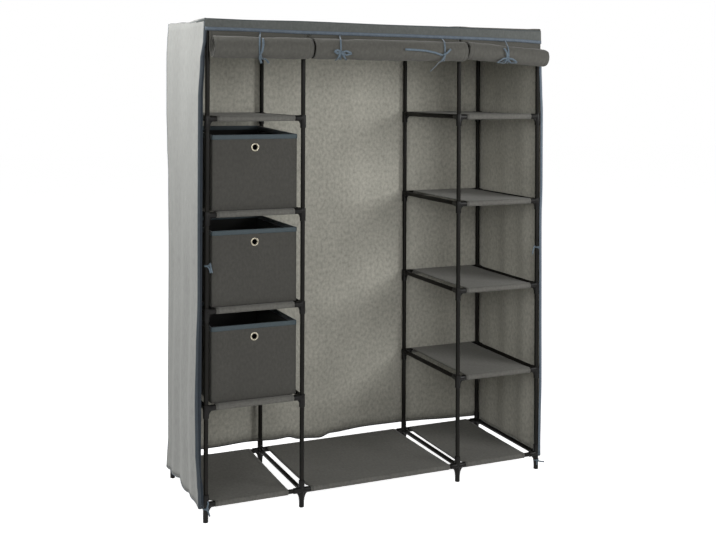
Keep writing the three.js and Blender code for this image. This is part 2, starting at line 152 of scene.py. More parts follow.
def spread(low: float, high: float, count: int) -> list[float]:
    """Even steps from one value to another, both included."""
    return [low + (high - low) * step / count for step in range(count + 1)]


def fold(place: float, waves: float) -> float:
    """The depth of soft folds across a cloth, which die out at its edges.

    Args:
        place: The share of the way across.
        waves: How many folds there are.

    Returns:
        A depth from 0 to 1.
    """
    edge = clamp(min(place, 1 - place) / FOLD_FADE_SHARE)
    return (1 - math.cos(FULL_TURN * waves * place)) / 2 * edge


def ripple(u: float, v: float, seed: int, size: float) -> float:
    """A soft, repeatable unevenness.

    Args:
        u: Place across, in metres.
        v: Place along, in metres.
        seed: Which unevenness.
        size: The length of its waves, in metres.

    Returns:
        A value from about -1 to 1.
    """
    turn = random.Random(seed)
    total = 0.0
    for _ in range(RIPPLE_WAVES):
        angle = turn.uniform(0, FULL_TURN)
        step = FULL_TURN / (size * turn.uniform(0.7, 1.4))
        total += math.sin(step * (u * math.cos(angle) + v * math.sin(angle)) + turn.uniform(0, FULL_TURN))
    return total / RIPPLE_WAVES


def length_of(line: Sequence[Vector]) -> float:
    """How long a line of points is."""
    return sum((after - before).length for before, after in zip(line, line[1:]))


# The workbench: modelling by operators


def clear() -> None:
    """Deselect everything."""
    if bpy.context.object and bpy.context.object.mode != "OBJECT":
        bpy.ops.object.mode_set(mode="OBJECT")
    bpy.ops.object.select_all(action="DESELECT")


def take(*pieces: Piece) -> None:
    """Select these pieces alone, the last of them active."""
    clear()
    for piece in pieces:
        piece.select_set(True)
    bpy.context.view_layer.objects.active = pieces[-1]


@contextmanager
def editing(piece: Piece) -> Iterator[None]:
    """Edit mode on one piece, with nothing of it selected at first."""
    take(piece)
    bpy.ops.object.mode_set(mode="EDIT")
    bpy.ops.mesh.select_all(action="DESELECT")
    yield
    bpy.ops.object.mode_set(mode="OBJECT")


def pick(piece: Piece, mode: str, test: Callable[[object], bool]) -> None:
    """Select the faces, edges or vertices of the piece in edit mode that pass a test.

    Args:
        piece: The piece in edit mode.
        mode: FACE, EDGE or VERT.
        test: Says of one face, edge or vertex whether it is wanted.
    """
    bpy.ops.mesh.select_mode(type=mode)
    bpy.ops.mesh.select_all(action="DESELECT")
    shape = bmesh.from_edit_mesh(piece.data)
    rows = {"FACE": shape.faces, "EDGE": shape.edges, "VERT": shape.verts}[mode]
    for item in rows:
        if test(item):
            item.select = True
    shape.select_flush_mode()
    bmesh.update_edit_mesh(piece.data)


def settle(piece: Piece, name: str) -> Piece:
    """Name a piece and put its place into its mesh."""
    piece.name = name
    piece.data.name = name
    take(piece)
    bpy.ops.object.transform_apply(location=True, rotation=True, scale=True)
    return piece


def finish_with(piece: Piece, kind: str, **settings: object) -> None:
    """Add a modifier to a piece, set it and apply it."""
    modifier = piece.modifiers.new(kind.title(), kind)
    for key, value in settings.items():
        setattr(modifier, key, value)
    take(piece)
    bpy.ops.object.modifier_apply(modifier=modifier.name)


def round_edges(piece: Piece, width: float, segments: int = 2, angle: float = 0.6) -> None:
    """Round every edge of a piece that is sharper than an angle."""
    finish_with(piece, "BEVEL", width=width, segments=segments, limit_method="ANGLE", angle_limit=angle)


def thicken(piece: Piece, thickness: float, outward: float) -> None:
    """Give a sheet its thickness, and its far side the second finish.

    Args:
        piece: A piece whose faces are one open sheet.
        thickness: How thick it gets.
        outward: Which way the thickness goes, from -1 to 1.
    """
    count = len(piece.data.polygons)
    finish_with(piece, "SOLIDIFY", thickness=thickness, offset=outward, use_even_offset=True)
    for face in piece.data.polygons[count : 2 * count]:
        face.material_index = 1


def combine(whole: Piece, other: Piece, operation: str) -> None:
    """Join another piece to a whole one, or cut it out, and remove the other.

    Args:
        whole: The piece that stays.
        other: The piece that is used up.
        operation: UNION or DIFFERENCE.
    """
    finish_with(whole, "BOOLEAN", operation=operation, object=other, solver="EXACT")
    bpy.data.objects.remove(other, do_unlink=True)


def smooth(piece: Piece, angle: float = 0.6) -> Piece:
    """Shade a piece smooth, and keep the edges sharper than an angle."""
    take(piece)
    bpy.ops.object.shade_smooth_by_angle(angle=angle)
    return piece


def placed(name: str, data: bpy.types.ID) -> Piece:
    """A new object in the scene, with its mesh, lamp or camera."""
    piece = bpy.data.objects.new(name, data)
    bpy.context.scene.collection.objects.link(piece)
    return piece


def copied(piece: Piece, place: Matrix) -> Piece:
    """A copy of a piece with its own mesh, moved in its mesh."""
    twin = piece.copy()
    twin.data = piece.data.copy()
    twin.data.transform(place)
    bpy.context.scene.collection.objects.link(twin)
    return twin


def joined(name: str, pieces: Sequence[Piece]) -> Piece:
    """Several pieces as one, under a name."""
    take(*pieces)
    if len(pieces) > 1:
        bpy.ops.object.join()
    whole = bpy.context.view_layer.objects.active
    whole.name = name
    whole.data.name = name
    return whole


def away(piece: Piece) -> None:
    """Remove a piece that was only a pattern for others."""
    bpy.data.objects.remove(piece, do_unlink=True)


TURN_TO = {"x": (0.0, QUARTER, 0.0), "y": (QUARTER, 0.0, 0.0), "z": (0.0, 0.0, 0.0)}


def rod(
    axis: str,
    low: float,
    high: float,
    radius: float,
    at: Sequence[float] = (0, 0, 0),
    sides: int = 28,
    rim: float = 0.0,
) -> Piece:
    """A round bar along an axis.

    Args:
        axis: x, y or z.
        low: Where it starts along the axis, from the point.
        high: Where it ends.
        radius: Half its thickness.
        at: A point on its axis.
        sides: Sides of its round.
        rim: How far its end edges are rounded.

    Returns:
        The bar, with its place in its mesh.
    """
    middle = Vector(at)
    middle["xyz".index(axis)] += (low + high) / 2
    clear()
    bpy.ops.mesh.primitive_cylinder_add(
        vertices=sides, radius=radius, depth=abs(high - low), location=middle, rotation=TURN_TO[axis]
    )
    bar = settle(bpy.context.object, "bar")
    if rim:
        round_edges(bar, rim, segments=3, angle=1.0)
    return bar


def block(low: Sequence[float], high: Sequence[float]) -> Piece:
    """A block between two corners."""
    first, second = Vector(low), Vector(high)
    clear()
    bpy.ops.mesh.primitive_cube_add(size=1, location=(first + second) / 2, scale=second - first)
    return settle(bpy.context.object, "block")


# Sheets of cloth, made as mesh code


def sheet_piece(
    name: str,
    grid: Grid,
    thickness: float,
    seams: Callable[[float, float], float] | None = None,
    closed: bool = False,
    flip: bool = False,
    outward: float = 1.0,
) -> Piece:
    """A sheet of cloth through a grid of points, with its own UV map in metres.

    Args:
        name: The piece's name.
        grid: Rows of points. Rows follow the cloth's length, columns its width.
        thickness: How thick the cloth is.
        seams: Gives the distance to the nearest hem, from a row's and a column's share.
        closed: Whether the last column meets the first.
        flip: Whether the faces turn the other way.
        outward: Which way the thickness goes from the grid, from -1 to 1.

    Returns:
        The cloth, closed all round, with the finish of its far side in its second slot.
    """
    rows, columns = len(grid), len(grid[0])
    across = [0.0]
    for column in range(1, columns):
        across.append(across[-1] + sum((row[column] - row[column - 1]).length for row in grid) / rows)
    along = [0.0]
    for row in range(1, rows):
        steps = sum((grid[row][c] - grid[row - 1][c]).length for c in range(columns)) / columns
        along.append(along[-1] + steps)
    wrap = across[-1] + sum((row[0] - row[-1]).length for row in grid) / rows
    mesh = bpy.data.meshes.new(name)
    shape = bmesh.new()
    layer = shape.loops.layers.uv.new("UVMap")
    points = [[shape.verts.new(point) for point in row] for row in grid]
    for row in range(rows - 1):
        for column in range(columns if closed else columns - 1):
            after = (column + 1) % columns
            ring = [(row, column), (row, after), (row + 1, after), (row + 1, column)]
            if flip:
                ring.reverse()
            face = shape.faces.new([points[r][c] for r, c in ring])
            face.smooth = True
            for loop, (r, c) in zip(face.loops, ring):
                place = wrap if closed and c == 0 and column == columns - 1 else across[c]
                loop[layer].uv = (place, along[r])
    shape.to_mesh(mesh)
    shape.free()
    edge = mesh.attributes.new("hem", "FLOAT", "POINT")
    for row in range(rows):
        for column in range(columns):
            share = (row / (rows - 1), column / max(columns - 1, 1))
            edge.data[row * columns + column].value = seams(*share) if seams else 1.0
    piece = placed(name, mesh)
    thicken(piece, thickness, outward)
    return piece


def tube_piece(name: str, line: Sequence[Vector], radius: float, sides: int = 8) -> Piece:
    """A thin round piece along a line, such as piping, with a UV map in metres.

    Args:
        name: The piece's name.
        line: The points that it follows.
        radius: Half its thickness.
        sides: Sides of its round.

    Returns:
        The piece, closed at both ends.
    """
    shape = bmesh.new()
    layer = shape.loops.layers.uv.new("UVMap")
    rings = []
    normal = Vector((0, 0, 1))
    far = [0.0]
    for index, point in enumerate(line):
        ahead = (line[min(index + 1, len(line) - 1)] - line[max(index - 1, 0)]).normalized()
        if abs(normal.dot(ahead)) > 0.95:
            normal = Vector((1, 0, 0)) if abs(ahead.x) < 0.9 else Vector((0, 1, 0))
        normal = (normal - ahead * normal.dot(ahead)).normalized()
        other = ahead.cross(normal)
        if index:
            far.append(far[-1] + (point - line[index - 1]).length)
        turns = [FULL_TURN * side / sides for side in range(sides)]
        ways = [normal * math.cos(t) + other * math.sin(t) for t in turns]
        rings.append([shape.verts.new(point + radius * way) for way in ways])
    for index in range(len(rings) - 1):
        for side in range(sides):
            after = (side + 1) % sides
            corners = [(index, side), (index, after), (index + 1, after), (index + 1, side)]
            face = shape.faces.new([rings[r][s] for r, s in corners])
            face.smooth = True
            for loop, (r, _) in zip(face.loops, corners):
                turn = side if loop.vert in (rings[index][side], rings[index + 1][side]) else side + 1
                loop[layer].uv = (turn / sides * FULL_TURN * radius, far[r])
    shape.faces.new(list(reversed(rings[0])))
    shape.faces.new(rings[-1])
    bmesh.ops.recalc_face_normals(shape, faces=shape.faces)
    mesh = bpy.data.meshes.new(name)
    shape.to_mesh(mesh)
    shape.free()
    return placed(name, mesh)


def ribbon_piece(
    name: str, line: Sequence[Vector], flats: Sequence[Vector], width: float, thickness: float
) -> Piece:
    """A flat ribbon along a line.

    Args:
        name: The piece's name.
        line: The points that its middle follows.
        flats: At each point, the way that its width lies.
        width: How wide it is.
        thickness: How thick it is.

    Returns:
        The ribbon, as a sheet.
    """
    rows = []
    for point, flat in zip(line, flats):
        across = flat.normalized() * width
        rows.append([point + across * share for share in (-0.5, -0.17, 0.17, 0.5)])
    return sheet_piece(name, rows, thickness, outward=0.0)


def hems(width: float, height: float | None = None) -> Callable[[float, float], float]:
    """Gives the distance to the nearest hem of a cloth, from a row's and a column's share.

    Args:
        width: The cloth's width, which has a hem at both sides.
        height: Its height, where its foot has a hem too.

    Returns:
        The function.
    """
    if height is None:
        return lambda _, across: min(across, 1 - across) * width
    return lambda along, across: min(along * height, across * width, (1 - across) * width)


# Finishes


def linear(colour: str) -> tuple[float, float, float, float]:
    """Turn an sRGB hex colour into the linear numbers that a shader reads."""
    parts = [int(colour[start : start + 2], 16) / 255 for start in (1, 3, 5)]
    red, green, blue = (c / 12.92 if c <= 0.04045 else ((c + 0.055) / 1.055) ** 2.4 for c in parts)
    return red, green, blue, 1.0


def add(
    material: Material | bpy.types.World,
    kind: str,
    settings: Mapping[str | int, object] | None = None,
    **links: Node | Socket,
) -> Node:
    """Add a node with its settings and links.

    Args:
        material: The material or the world that it goes into.
        kind: The node's type, without the leading ShaderNode.
        settings: Values of its sockets by name or number, and of its own options by name.
        links: Sockets that feed it, or nodes for their first socket, by the input's name with _ for a space,
            or by i and its number.

    Returns:
        The node.
    """
    tree = material.node_tree
    node = tree.nodes.new("ShaderNode" + kind)
    for key, value in (settings or {}).items():
        if isinstance(key, str) and hasattr(node, key):
            setattr(node, key, value)
        else:
            node.inputs[key].default_value = value
    for key, source in links.items():
        entry = int(key[1:]) if key[0] == "i" and key[1:].isdigit() else key.replace("_", " ")
        socket = source if isinstance(source, Socket) else source.outputs[0]
        tree.links.new(socket, node.inputs[entry])
    return node


def blank(name: str) -> Material:
    """A new material with no node in it."""
    material = bpy.data.materials.new(name)
    material.use_nodes = True
    material.node_tree.nodes.clear()
    return material


def ramp(node: Node, *stops: tuple[float, str]) -> Node:
    """Set the stops of a colour ramp, two or more of them, as places and hex colours."""
    elements = node.color_ramp.elements
    while len(elements) < len(stops):
        elements.new(0.5)
    for element, (place, colour) in zip(elements, stops):
        element.position = place
        element.color = linear(colour)
    return node


def span(start: float, end: float, first: float = 0.0, last: float = 1.0) -> dict[str, float]:
    """The settings that map one range of values onto another."""
    return {"From Min": start, "From Max": end, "To Min": first, "To Max": last}


MULTIPLY = {"data_type": "RGBA", "blend_type": "MULTIPLY", 0: 1.0}


@dataclass(frozen=True)
class Finish:
    """What every finish has: a name, and a way to make its material."""

    name: str

    def build(self) -> Material:
        """Make the material."""
        raise NotImplementedError(self.name)


@dataclass(frozen=True)
class NonWoven(Finish):
    """Spunbond polypropylene: matte and felted, with paler fibre clouds and creases from packing."""

    base: str
    cloud: str
    dark: str
    cloud_size: float = 9 * MM  # fibre clouds of a light spunbond are 5 to 12 mm across
    stretch: float = 1.6  # clouds are longer along the roll's direction
    bond: float = 3.2 * MM  # bonding points are about 1 mm apart, drawn at 3 mm so that they show
    mottle: float = 0.5
    crease: float = 0.35
    roughness: float = 0.86
    hem: float = 12 * MM
    hem_edge: float = 0.6 * MM
    stitch: float = 5 * MM
    stitch_share: float = 0.62
    stitch_inset: float = 2.5 * MM
    thread_half: float = 0.5 * MM
    thread: str = "#3c4348"
    sheen: str = "#dcdcd8"

    def mottled(self, material: Material, clouds: Node, here: Socket) -> Socket:
        """The cloth's own colour: fibre clouds over its base, in slow drifts."""
        stops = ((0.34, self.dark), (0.5, self.base), (0.66, self.cloud))
        tone = ramp(add(material, "ValToRGB", Fac=clouds), *stops)
        settings = {"data_type": "RGBA", "Factor": self.mottle, 6: linear(self.base)}
        level = add(material, "Mix", settings, i7=tone)
        wide = add(material, "TexNoise", {"Scale": 7.0, "Detail": 3.0, "Roughness": 0.55}, Vector=here)
        drift = add(material, "MapRange", span(0.3, 0.7, 0.93, 1.05), Value=wide)
        return add(material, "Mix", MULTIPLY, i6=level.outputs[2], i7=drift).outputs[2]

    def build(self) -> Material:
        """Make the material."""
        material = blank(self.name)
        place = add(material, "TexCoord").outputs["UV"]
        settings = {"Scale": (1.0, 1 / self.stretch, 1.0)}
        here = add(material, "Mapping", settings, Vector=place).outputs["Vector"]
        settings = {"Scale": 1 / self.cloud_size, "Detail": 5.0, "Roughness": 0.62, "Lacunarity": 2.1}
        clouds = add(material, "TexNoise", settings, Vector=here)
        toned = self.mottled(material, clouds, here)
        bonds = add(material, "TexVoronoi", {"Scale": 1 / self.bond, "Randomness": 0.25}, Vector=place)
        # Bond points: each pressed pit is darkened towards its centre, as painted shade.
        pit_shade = add(material, "MapRange", span(0.0, 0.35, 0.9, 1.0), Value=bonds)
        pitted = add(material, "Mix", MULTIPLY, i6=toned, i7=pit_shade)

        edge = add(material, "Attribute", {"attribute_name": "hem"}).outputs["Fac"]
        lapped = add(material, "MapRange", span(self.hem - self.hem_edge, self.hem, 1.0, 0.0), Value=edge)
        split = add(material, "SeparateXYZ", Vector=place)
        length = add(material, "Math", {"operation": "ADD"}, i0=split.outputs["X"], i1=split.outputs["Y"])
        count = add(material, "Math", {"operation": "DIVIDE", 1: self.stitch}, i0=length)
        step = add(material, "Math", {"operation": "FRACT"}, i0=count)
        dash = add(material, "Math", {"operation": "LESS_THAN", 1: self.stitch_share}, i0=step)
        settings = {"operation": "COMPARE", 1: self.hem - self.stitch_inset, 2: self.thread_half}
        line = add(material, "Math", settings, i0=edge)
        stitch = add(material, "Math", {"operation": "MULTIPLY"}, i0=dash, i1=line)
        settings = {"data_type": "RGBA", 7: linear(self.thread)}
        sewn = add(material, "Mix", settings, i0=stitch, i6=pitted.outputs[2])
        darker = add(material, "MapRange", span(0.0, 1.0, 1.0, 0.9), Value=lapped)
        colour = add(material, "Mix", MULTIPLY, i6=sewn.outputs[2], i7=darker).outputs[2]

        settings = {"Scale": 5.5, "Detail": 2.0, "Roughness": 0.45, "Distortion": 0.8}
        creases = add(material, "TexNoise", settings, Vector=here)
        ridge = add(material, "Math", {"operation": "SUBTRACT", 1: 0.5}, i0=creases)
        sharp = add(material, "Math", {"operation": "ABSOLUTE"}, i0=ridge)
        ridged = add(material, "MapRange", span(0.0, 0.09), Value=sharp)
        relief = add(material, "Bump", {"Strength": self.crease, "Distance": 2.0 * MM}, Height=ridged)
        for strength, depth, height in ((0.35, 0.7, clouds), (0.3, 0.3, bonds), (0.6, 0.8, lapped)):
            settings = {"Strength": strength, "Distance": depth * MM}
            relief = add(material, "Bump", settings, Height=height, Normal=relief)
        settings = {"Strength": 0.5, "Distance": 0.5 * MM, "invert": True}
        relief = add(material, "Bump", settings, Height=line, Normal=relief)
        roughness = span(0.3, 0.7, self.roughness - 0.06, self.roughness + 0.05)
        matte = add(material, "MapRange", roughness, Value=clouds)
        settings = {"Sheen Weight": 0.18, "Sheen Roughness": 0.5, "Specular IOR Level": 0.25}
        settings["Sheen Tint"] = linear(self.sheen)
        shader = add(material, "BsdfPrincipled", settings, Base_Color=colour, Roughness=matte, Normal=relief)
        add(material, "OutputMaterial", Surface=shader)
        return material


@dataclass(frozen=True)
class MouldedPlastic(Finish):
    """Injection-moulded polypropylene: near black, with a soft gloss and a faint orange-peel skin."""

    name: str = "moulded_polypropylene"
    base: str = "#0e0d0c"
    scuffed: str = "#1a1917"
    roughness: float = 0.3
    skin: float = 2.5 * MM  # flow marks are 2 to 3 mm apart

    def build(self) -> Material:
        """Make the material."""
        material = blank(self.name)
        here = add(material, "TexCoord").outputs["Object"]
        skin = add(material, "TexNoise", {"Scale": 1 / self.skin, "Detail": 3.0}, Vector=here)
        scuff = add(material, "TexNoise", {"Scale": 60.0, "Detail": 6.0, "Roughness": 0.7}, Vector=here)
        tone = ramp(add(material, "ValToRGB", Fac=scuff), (0.45, self.base), (0.75, self.scuffed))
        roughness = span(0.35, 0.7, self.roughness - 0.04, self.roughness + 0.16)
        gloss = add(material, "MapRange", roughness, Value=scuff)
        bump = add(material, "Bump", {"Strength": 0.12, "Distance": 0.2 * MM}, Height=skin)
        settings = {"IOR": 1.49, "Specular IOR Level": 0.15}
        shader = add(material, "BsdfPrincipled", settings, Base_Color=tone, Roughness=gloss, Normal=bump)
        add(material, "OutputMaterial", Surface=shader)
        return material


@dataclass(frozen=True)
class PowderCoat(Finish):
    """Black powder coat on steel tube: a satin skin of fine dimples, rubbed a little by handling."""

    name: str = "powder_coated_steel_tube"
    base: str = "#0f0e0b"
    worn: str = "#1d1a16"
    roughness: float = 0.42
    dimple: float = 1.2 * MM  # the dimples of powder coat are about 1 mm apart

    def build(self) -> Material:
        """Make the material."""
        material = blank(self.name)
        here = add(material, "TexCoord").outputs["Object"]
        settings = {"Scale": 1 / self.dimple, "feature": "SMOOTH_F1", "Smoothness": 0.8}
        peel = add(material, "TexVoronoi", settings, Vector=here)
        rub = add(material, "TexNoise", {"Scale": 14.0, "Detail": 7.0, "Roughness": 0.66}, Vector=here)
        tone = ramp(add(material, "ValToRGB", Fac=rub), (0.5, self.base), (0.8, self.worn))
        roughness = span(0.35, 0.7, self.roughness, self.roughness + 0.14)
        gloss = add(material, "MapRange", roughness, Value=rub)
        bump = add(material, "Bump", {"Strength": 0.1, "Distance": 0.1 * MM}, Height=peel)
        settings = {"Specular IOR Level": 0.12}
        shader = add(material, "BsdfPrincipled", settings, Base_Color=tone, Roughness=gloss, Normal=bump)
        add(material, "OutputMaterial", Surface=shader)
        return material


@dataclass(frozen=True)
class WovenTape(Finish):
    """Polyester tape in plain weave: tight threads with a silky sheen across them, painted paler where they
    cross as a painted highlight.
    """

    base: str
    # The paler colour: the tape's worn patches, and a painted highlight on the weave's crossings.
    light: str
    thread_gap: float = 0.9 * MM  # 0.4 mm threads, drawn at twice that so that the weave shows
    wave_share: float = 0.314  # one band of the wave pattern at scale 1 is this long
    roughness: float = 0.62

    def build(self) -> Material:
        """Make the material."""
        material = blank(self.name)
        here = add(material, "TexCoord").outputs["UV"]
        settings = {"Scale": self.wave_share / self.thread_gap, "Distortion": 0.6}
        bands = [add(material, "TexWave", {**settings, "bands_direction": way}, Vector=here) for way in "XY"]
        warp, weft = (band.outputs["Fac"] for band in bands)
        weave = add(material, "Math", {"operation": "MULTIPLY"}, i0=warp, i1=weft)
        worn = add(material, "TexNoise", {"Scale": 55.0, "Detail": 4.0}, Vector=here)
        # Where the threads cross, the tone is painted towards the paler colour as a painted highlight; the
        # noise mixed in is the tape's own uneven wear.
        half = add(material, "Math", {"operation": "MULTIPLY_ADD", 1: 0.5, 2: 0.0}, i0=weave)
        wear_and_crossing_highlight = add(material, "Math", {"operation": "MULTIPLY_ADD", 1: 0.5}, i0=worn, i2=half)
        tone = ramp(add(material, "ValToRGB", Fac=wear_and_crossing_highlight), (0.2, self.base), (0.72, self.light))
        bump = add(material, "Bump", {"Strength": 0.4, "Distance": 0.25 * MM}, Height=weave)
        roughness = span(0.0, 1.0, self.roughness - 0.08, self.roughness + 0.1)
        gloss = add(material, "MapRange", roughness, Value=worn)
        settings = {"Sheen Weight": 0.3, "Sheen Roughness": 0.35, "Specular IOR Level": 0.35}
        shader = add(material, "BsdfPrincipled", settings, Base_Color=tone, Roughness=gloss, Normal=bump)
        add(material, "OutputMaterial", Surface=shader)
        return material


@dataclass(frozen=True)
class PlatedSteel(Finish):
    """Nickel-plated steel, pressed: bright, with a warm cast and fine turning marks."""

    name: str = "nickel_plated_steel"
    base: str = "#a9a393"
    dull: str = "#7f796b"
    roughness: float = 0.24

    def build(self) -> Material:
        """Make the material."""
        material = blank(self.name)
        here = add(material, "TexCoord").outputs["Object"]
        haze = add(material, "TexNoise", {"Scale": 220.0, "Detail": 4.0}, Vector=here)
        tone = ramp(add(material, "ValToRGB", Fac=haze), (0.35, self.dull), (0.6, self.base))
        roughness = span(0.0, 1.0, self.roughness - 0.06, self.roughness + 0.14)
        gloss = add(material, "MapRange", roughness, Value=haze)
        bump = add(material, "Bump", {"Strength": 0.08, "Distance": 0.1 * MM}, Height=haze)
        settings = {"Metallic": 1.0}
        shader = add(material, "BsdfPrincipled", settings, Base_Color=tone, Roughness=gloss, Normal=bump)
        add(material, "OutputMaterial", Surface=shader)
        return material


def made(finish: Finish) -> Material:
    """A field that makes this finish once."""
    return field(default_factory=finish.build)


@dataclass
class Finishes:
    """Every finish of the wardrobe, each made once."""

    # The outer face of the sides and back: the same spunbond as the roof, painted lighter to stand in for part
    # of the strong light that falls on the sides from the left.
    cover: Material = made(
        NonWoven("spunbond_cover_outside", "#9b9c99", "#acada9", "#878884", mottle=0.4, stretch=3.0)
    )
    # The inner face of the sides, back and roof: its mottle is the fibre's own, and its paleness is painted
    # light, standing in for the light that shines through the cloth from behind.
    inside: Material = made(
        NonWoven(
            "spunbond_cover_inside",
            "#b5b3a8",
            "#cac8bd",
            "#97958c",
            cloud_size=11 * MM,
            mottle=0.62,
            stretch=1.4,
            crease=0.1,
        )
    )
    roof: Material = made(
        NonWoven("spunbond_roof", "#616462", "#707370", "#525553", mottle=0.4, crease=0.3)
    )
    door: Material = made(
        NonWoven("spunbond_door", "#585752", "#676660", "#4a4945", mottle=0.4, crease=0.4)
    )
    shelf: Material = made(
        NonWoven("spunbond_shelf", "#676661", "#75746f", "#565551", mottle=0.5, crease=0.25)
    )
    drawer: Material = made(
        NonWoven("spunbond_drawer", "#484743", "#54534e", "#3c3b38", mottle=0.45, crease=0.15)
    )
    # The drawers' inner face: near-black cloth, painted dark to stand in for the shade inside each box.
    lining: Material = made(
        NonWoven("spunbond_drawer_lining", "#181817", "#1f1f1e", "#111111", mottle=0.4, crease=0.1)
    )
    binding: Material = made(WovenTape("polyester_rim_tape", "#333e43", "#475256"))
    piping: Material = made(WovenTape("polyester_piping", "#505b66", "#74808c"))
    # The left side's edge tape: the same slate tape as the piping, painted dark to stand in for the shade on
    # the left front edge.
    bound: Material = made(WovenTape("polyester_edge_tape", "#262d33", "#39434b"))
    ribbon: Material = made(WovenTape("polyester_ribbon", "#4b5963", "#73828f"))
    # The facings between the sides' front edges and the posts: slate tape painted darker still to stand in for
    # the shade on these front-facing strips; the back hem's binding takes the same dark finish.
    strip: Material = made(
        NonWoven("spunbond_edge_facing", "#232a31", "#2d353e", "#1b2026", mottle=0.5, crease=0.3)
    )
    plastic: Material = made(MouldedPlastic())
    tube: Material = made(PowderCoat())
    plated: Material = made(PlatedSteel())


def dress(
    piece: Piece,
    body: str | None,
    outer: Material,
    inner: Material | None = None,
    nodes: Iterable[str] = (),
) -> Piece:
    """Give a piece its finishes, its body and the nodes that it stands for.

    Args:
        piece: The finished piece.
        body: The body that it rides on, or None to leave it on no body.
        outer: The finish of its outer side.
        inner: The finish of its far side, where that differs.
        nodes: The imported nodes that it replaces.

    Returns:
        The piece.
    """
    mesh = piece.data
    if "hem" not in mesh.attributes:
        mesh.attributes.new("hem", "FLOAT", "POINT").data.foreach_set("value", [1.0] * len(mesh.vertices))
    piece.data.materials.append(outer)
    if inner:
        piece.data.materials.append(inner)
    if nodes:
        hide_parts(*nodes)
    if body:
        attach(piece, body)
    log.info("%s: %d faces", piece.name, len(piece.data.polygons))
    return piece


# The frame


@dataclass(frozen=True)
class Layout:
    """Where the posts and levels stand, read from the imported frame."""

    columns: tuple[float, ...]
    front: float
    back: float
    levels: tuple[float, ...]

    @classmethod
    def read(cls) -> "Layout":
        """Read the posts' axes and the rails' levels from their nodes."""

        def middle(node: str, axis: int) -> float:
            """The middle of a node along one axis."""
            low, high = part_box(node)
            return (low[axis] + high[axis]) / 2

        posts = [f"left_upright_{p}_front" for p in ("outer", "inner")]
        posts += [f"right_upright_{p}_front" for p in ("inner", "outer")]
        base, top = middle("centre_rail_base_front", 2), middle("centre_rail_top_front", 2)
        return cls(
            columns=tuple(middle(node, 0) for node in posts),
            front=middle("left_upright_outer_front", 1),
            back=middle("left_upright_outer_back", 1),
            levels=tuple(spread(base, top, 5)),
        )

    def pair(self, side: Side) -> tuple[float, float]:
        """The outer and the inner post of a column."""
        outer_first = (self.columns[0], self.columns[1])
        return outer_first if side is Side.LEFT else (self.columns[3], self.columns[2])


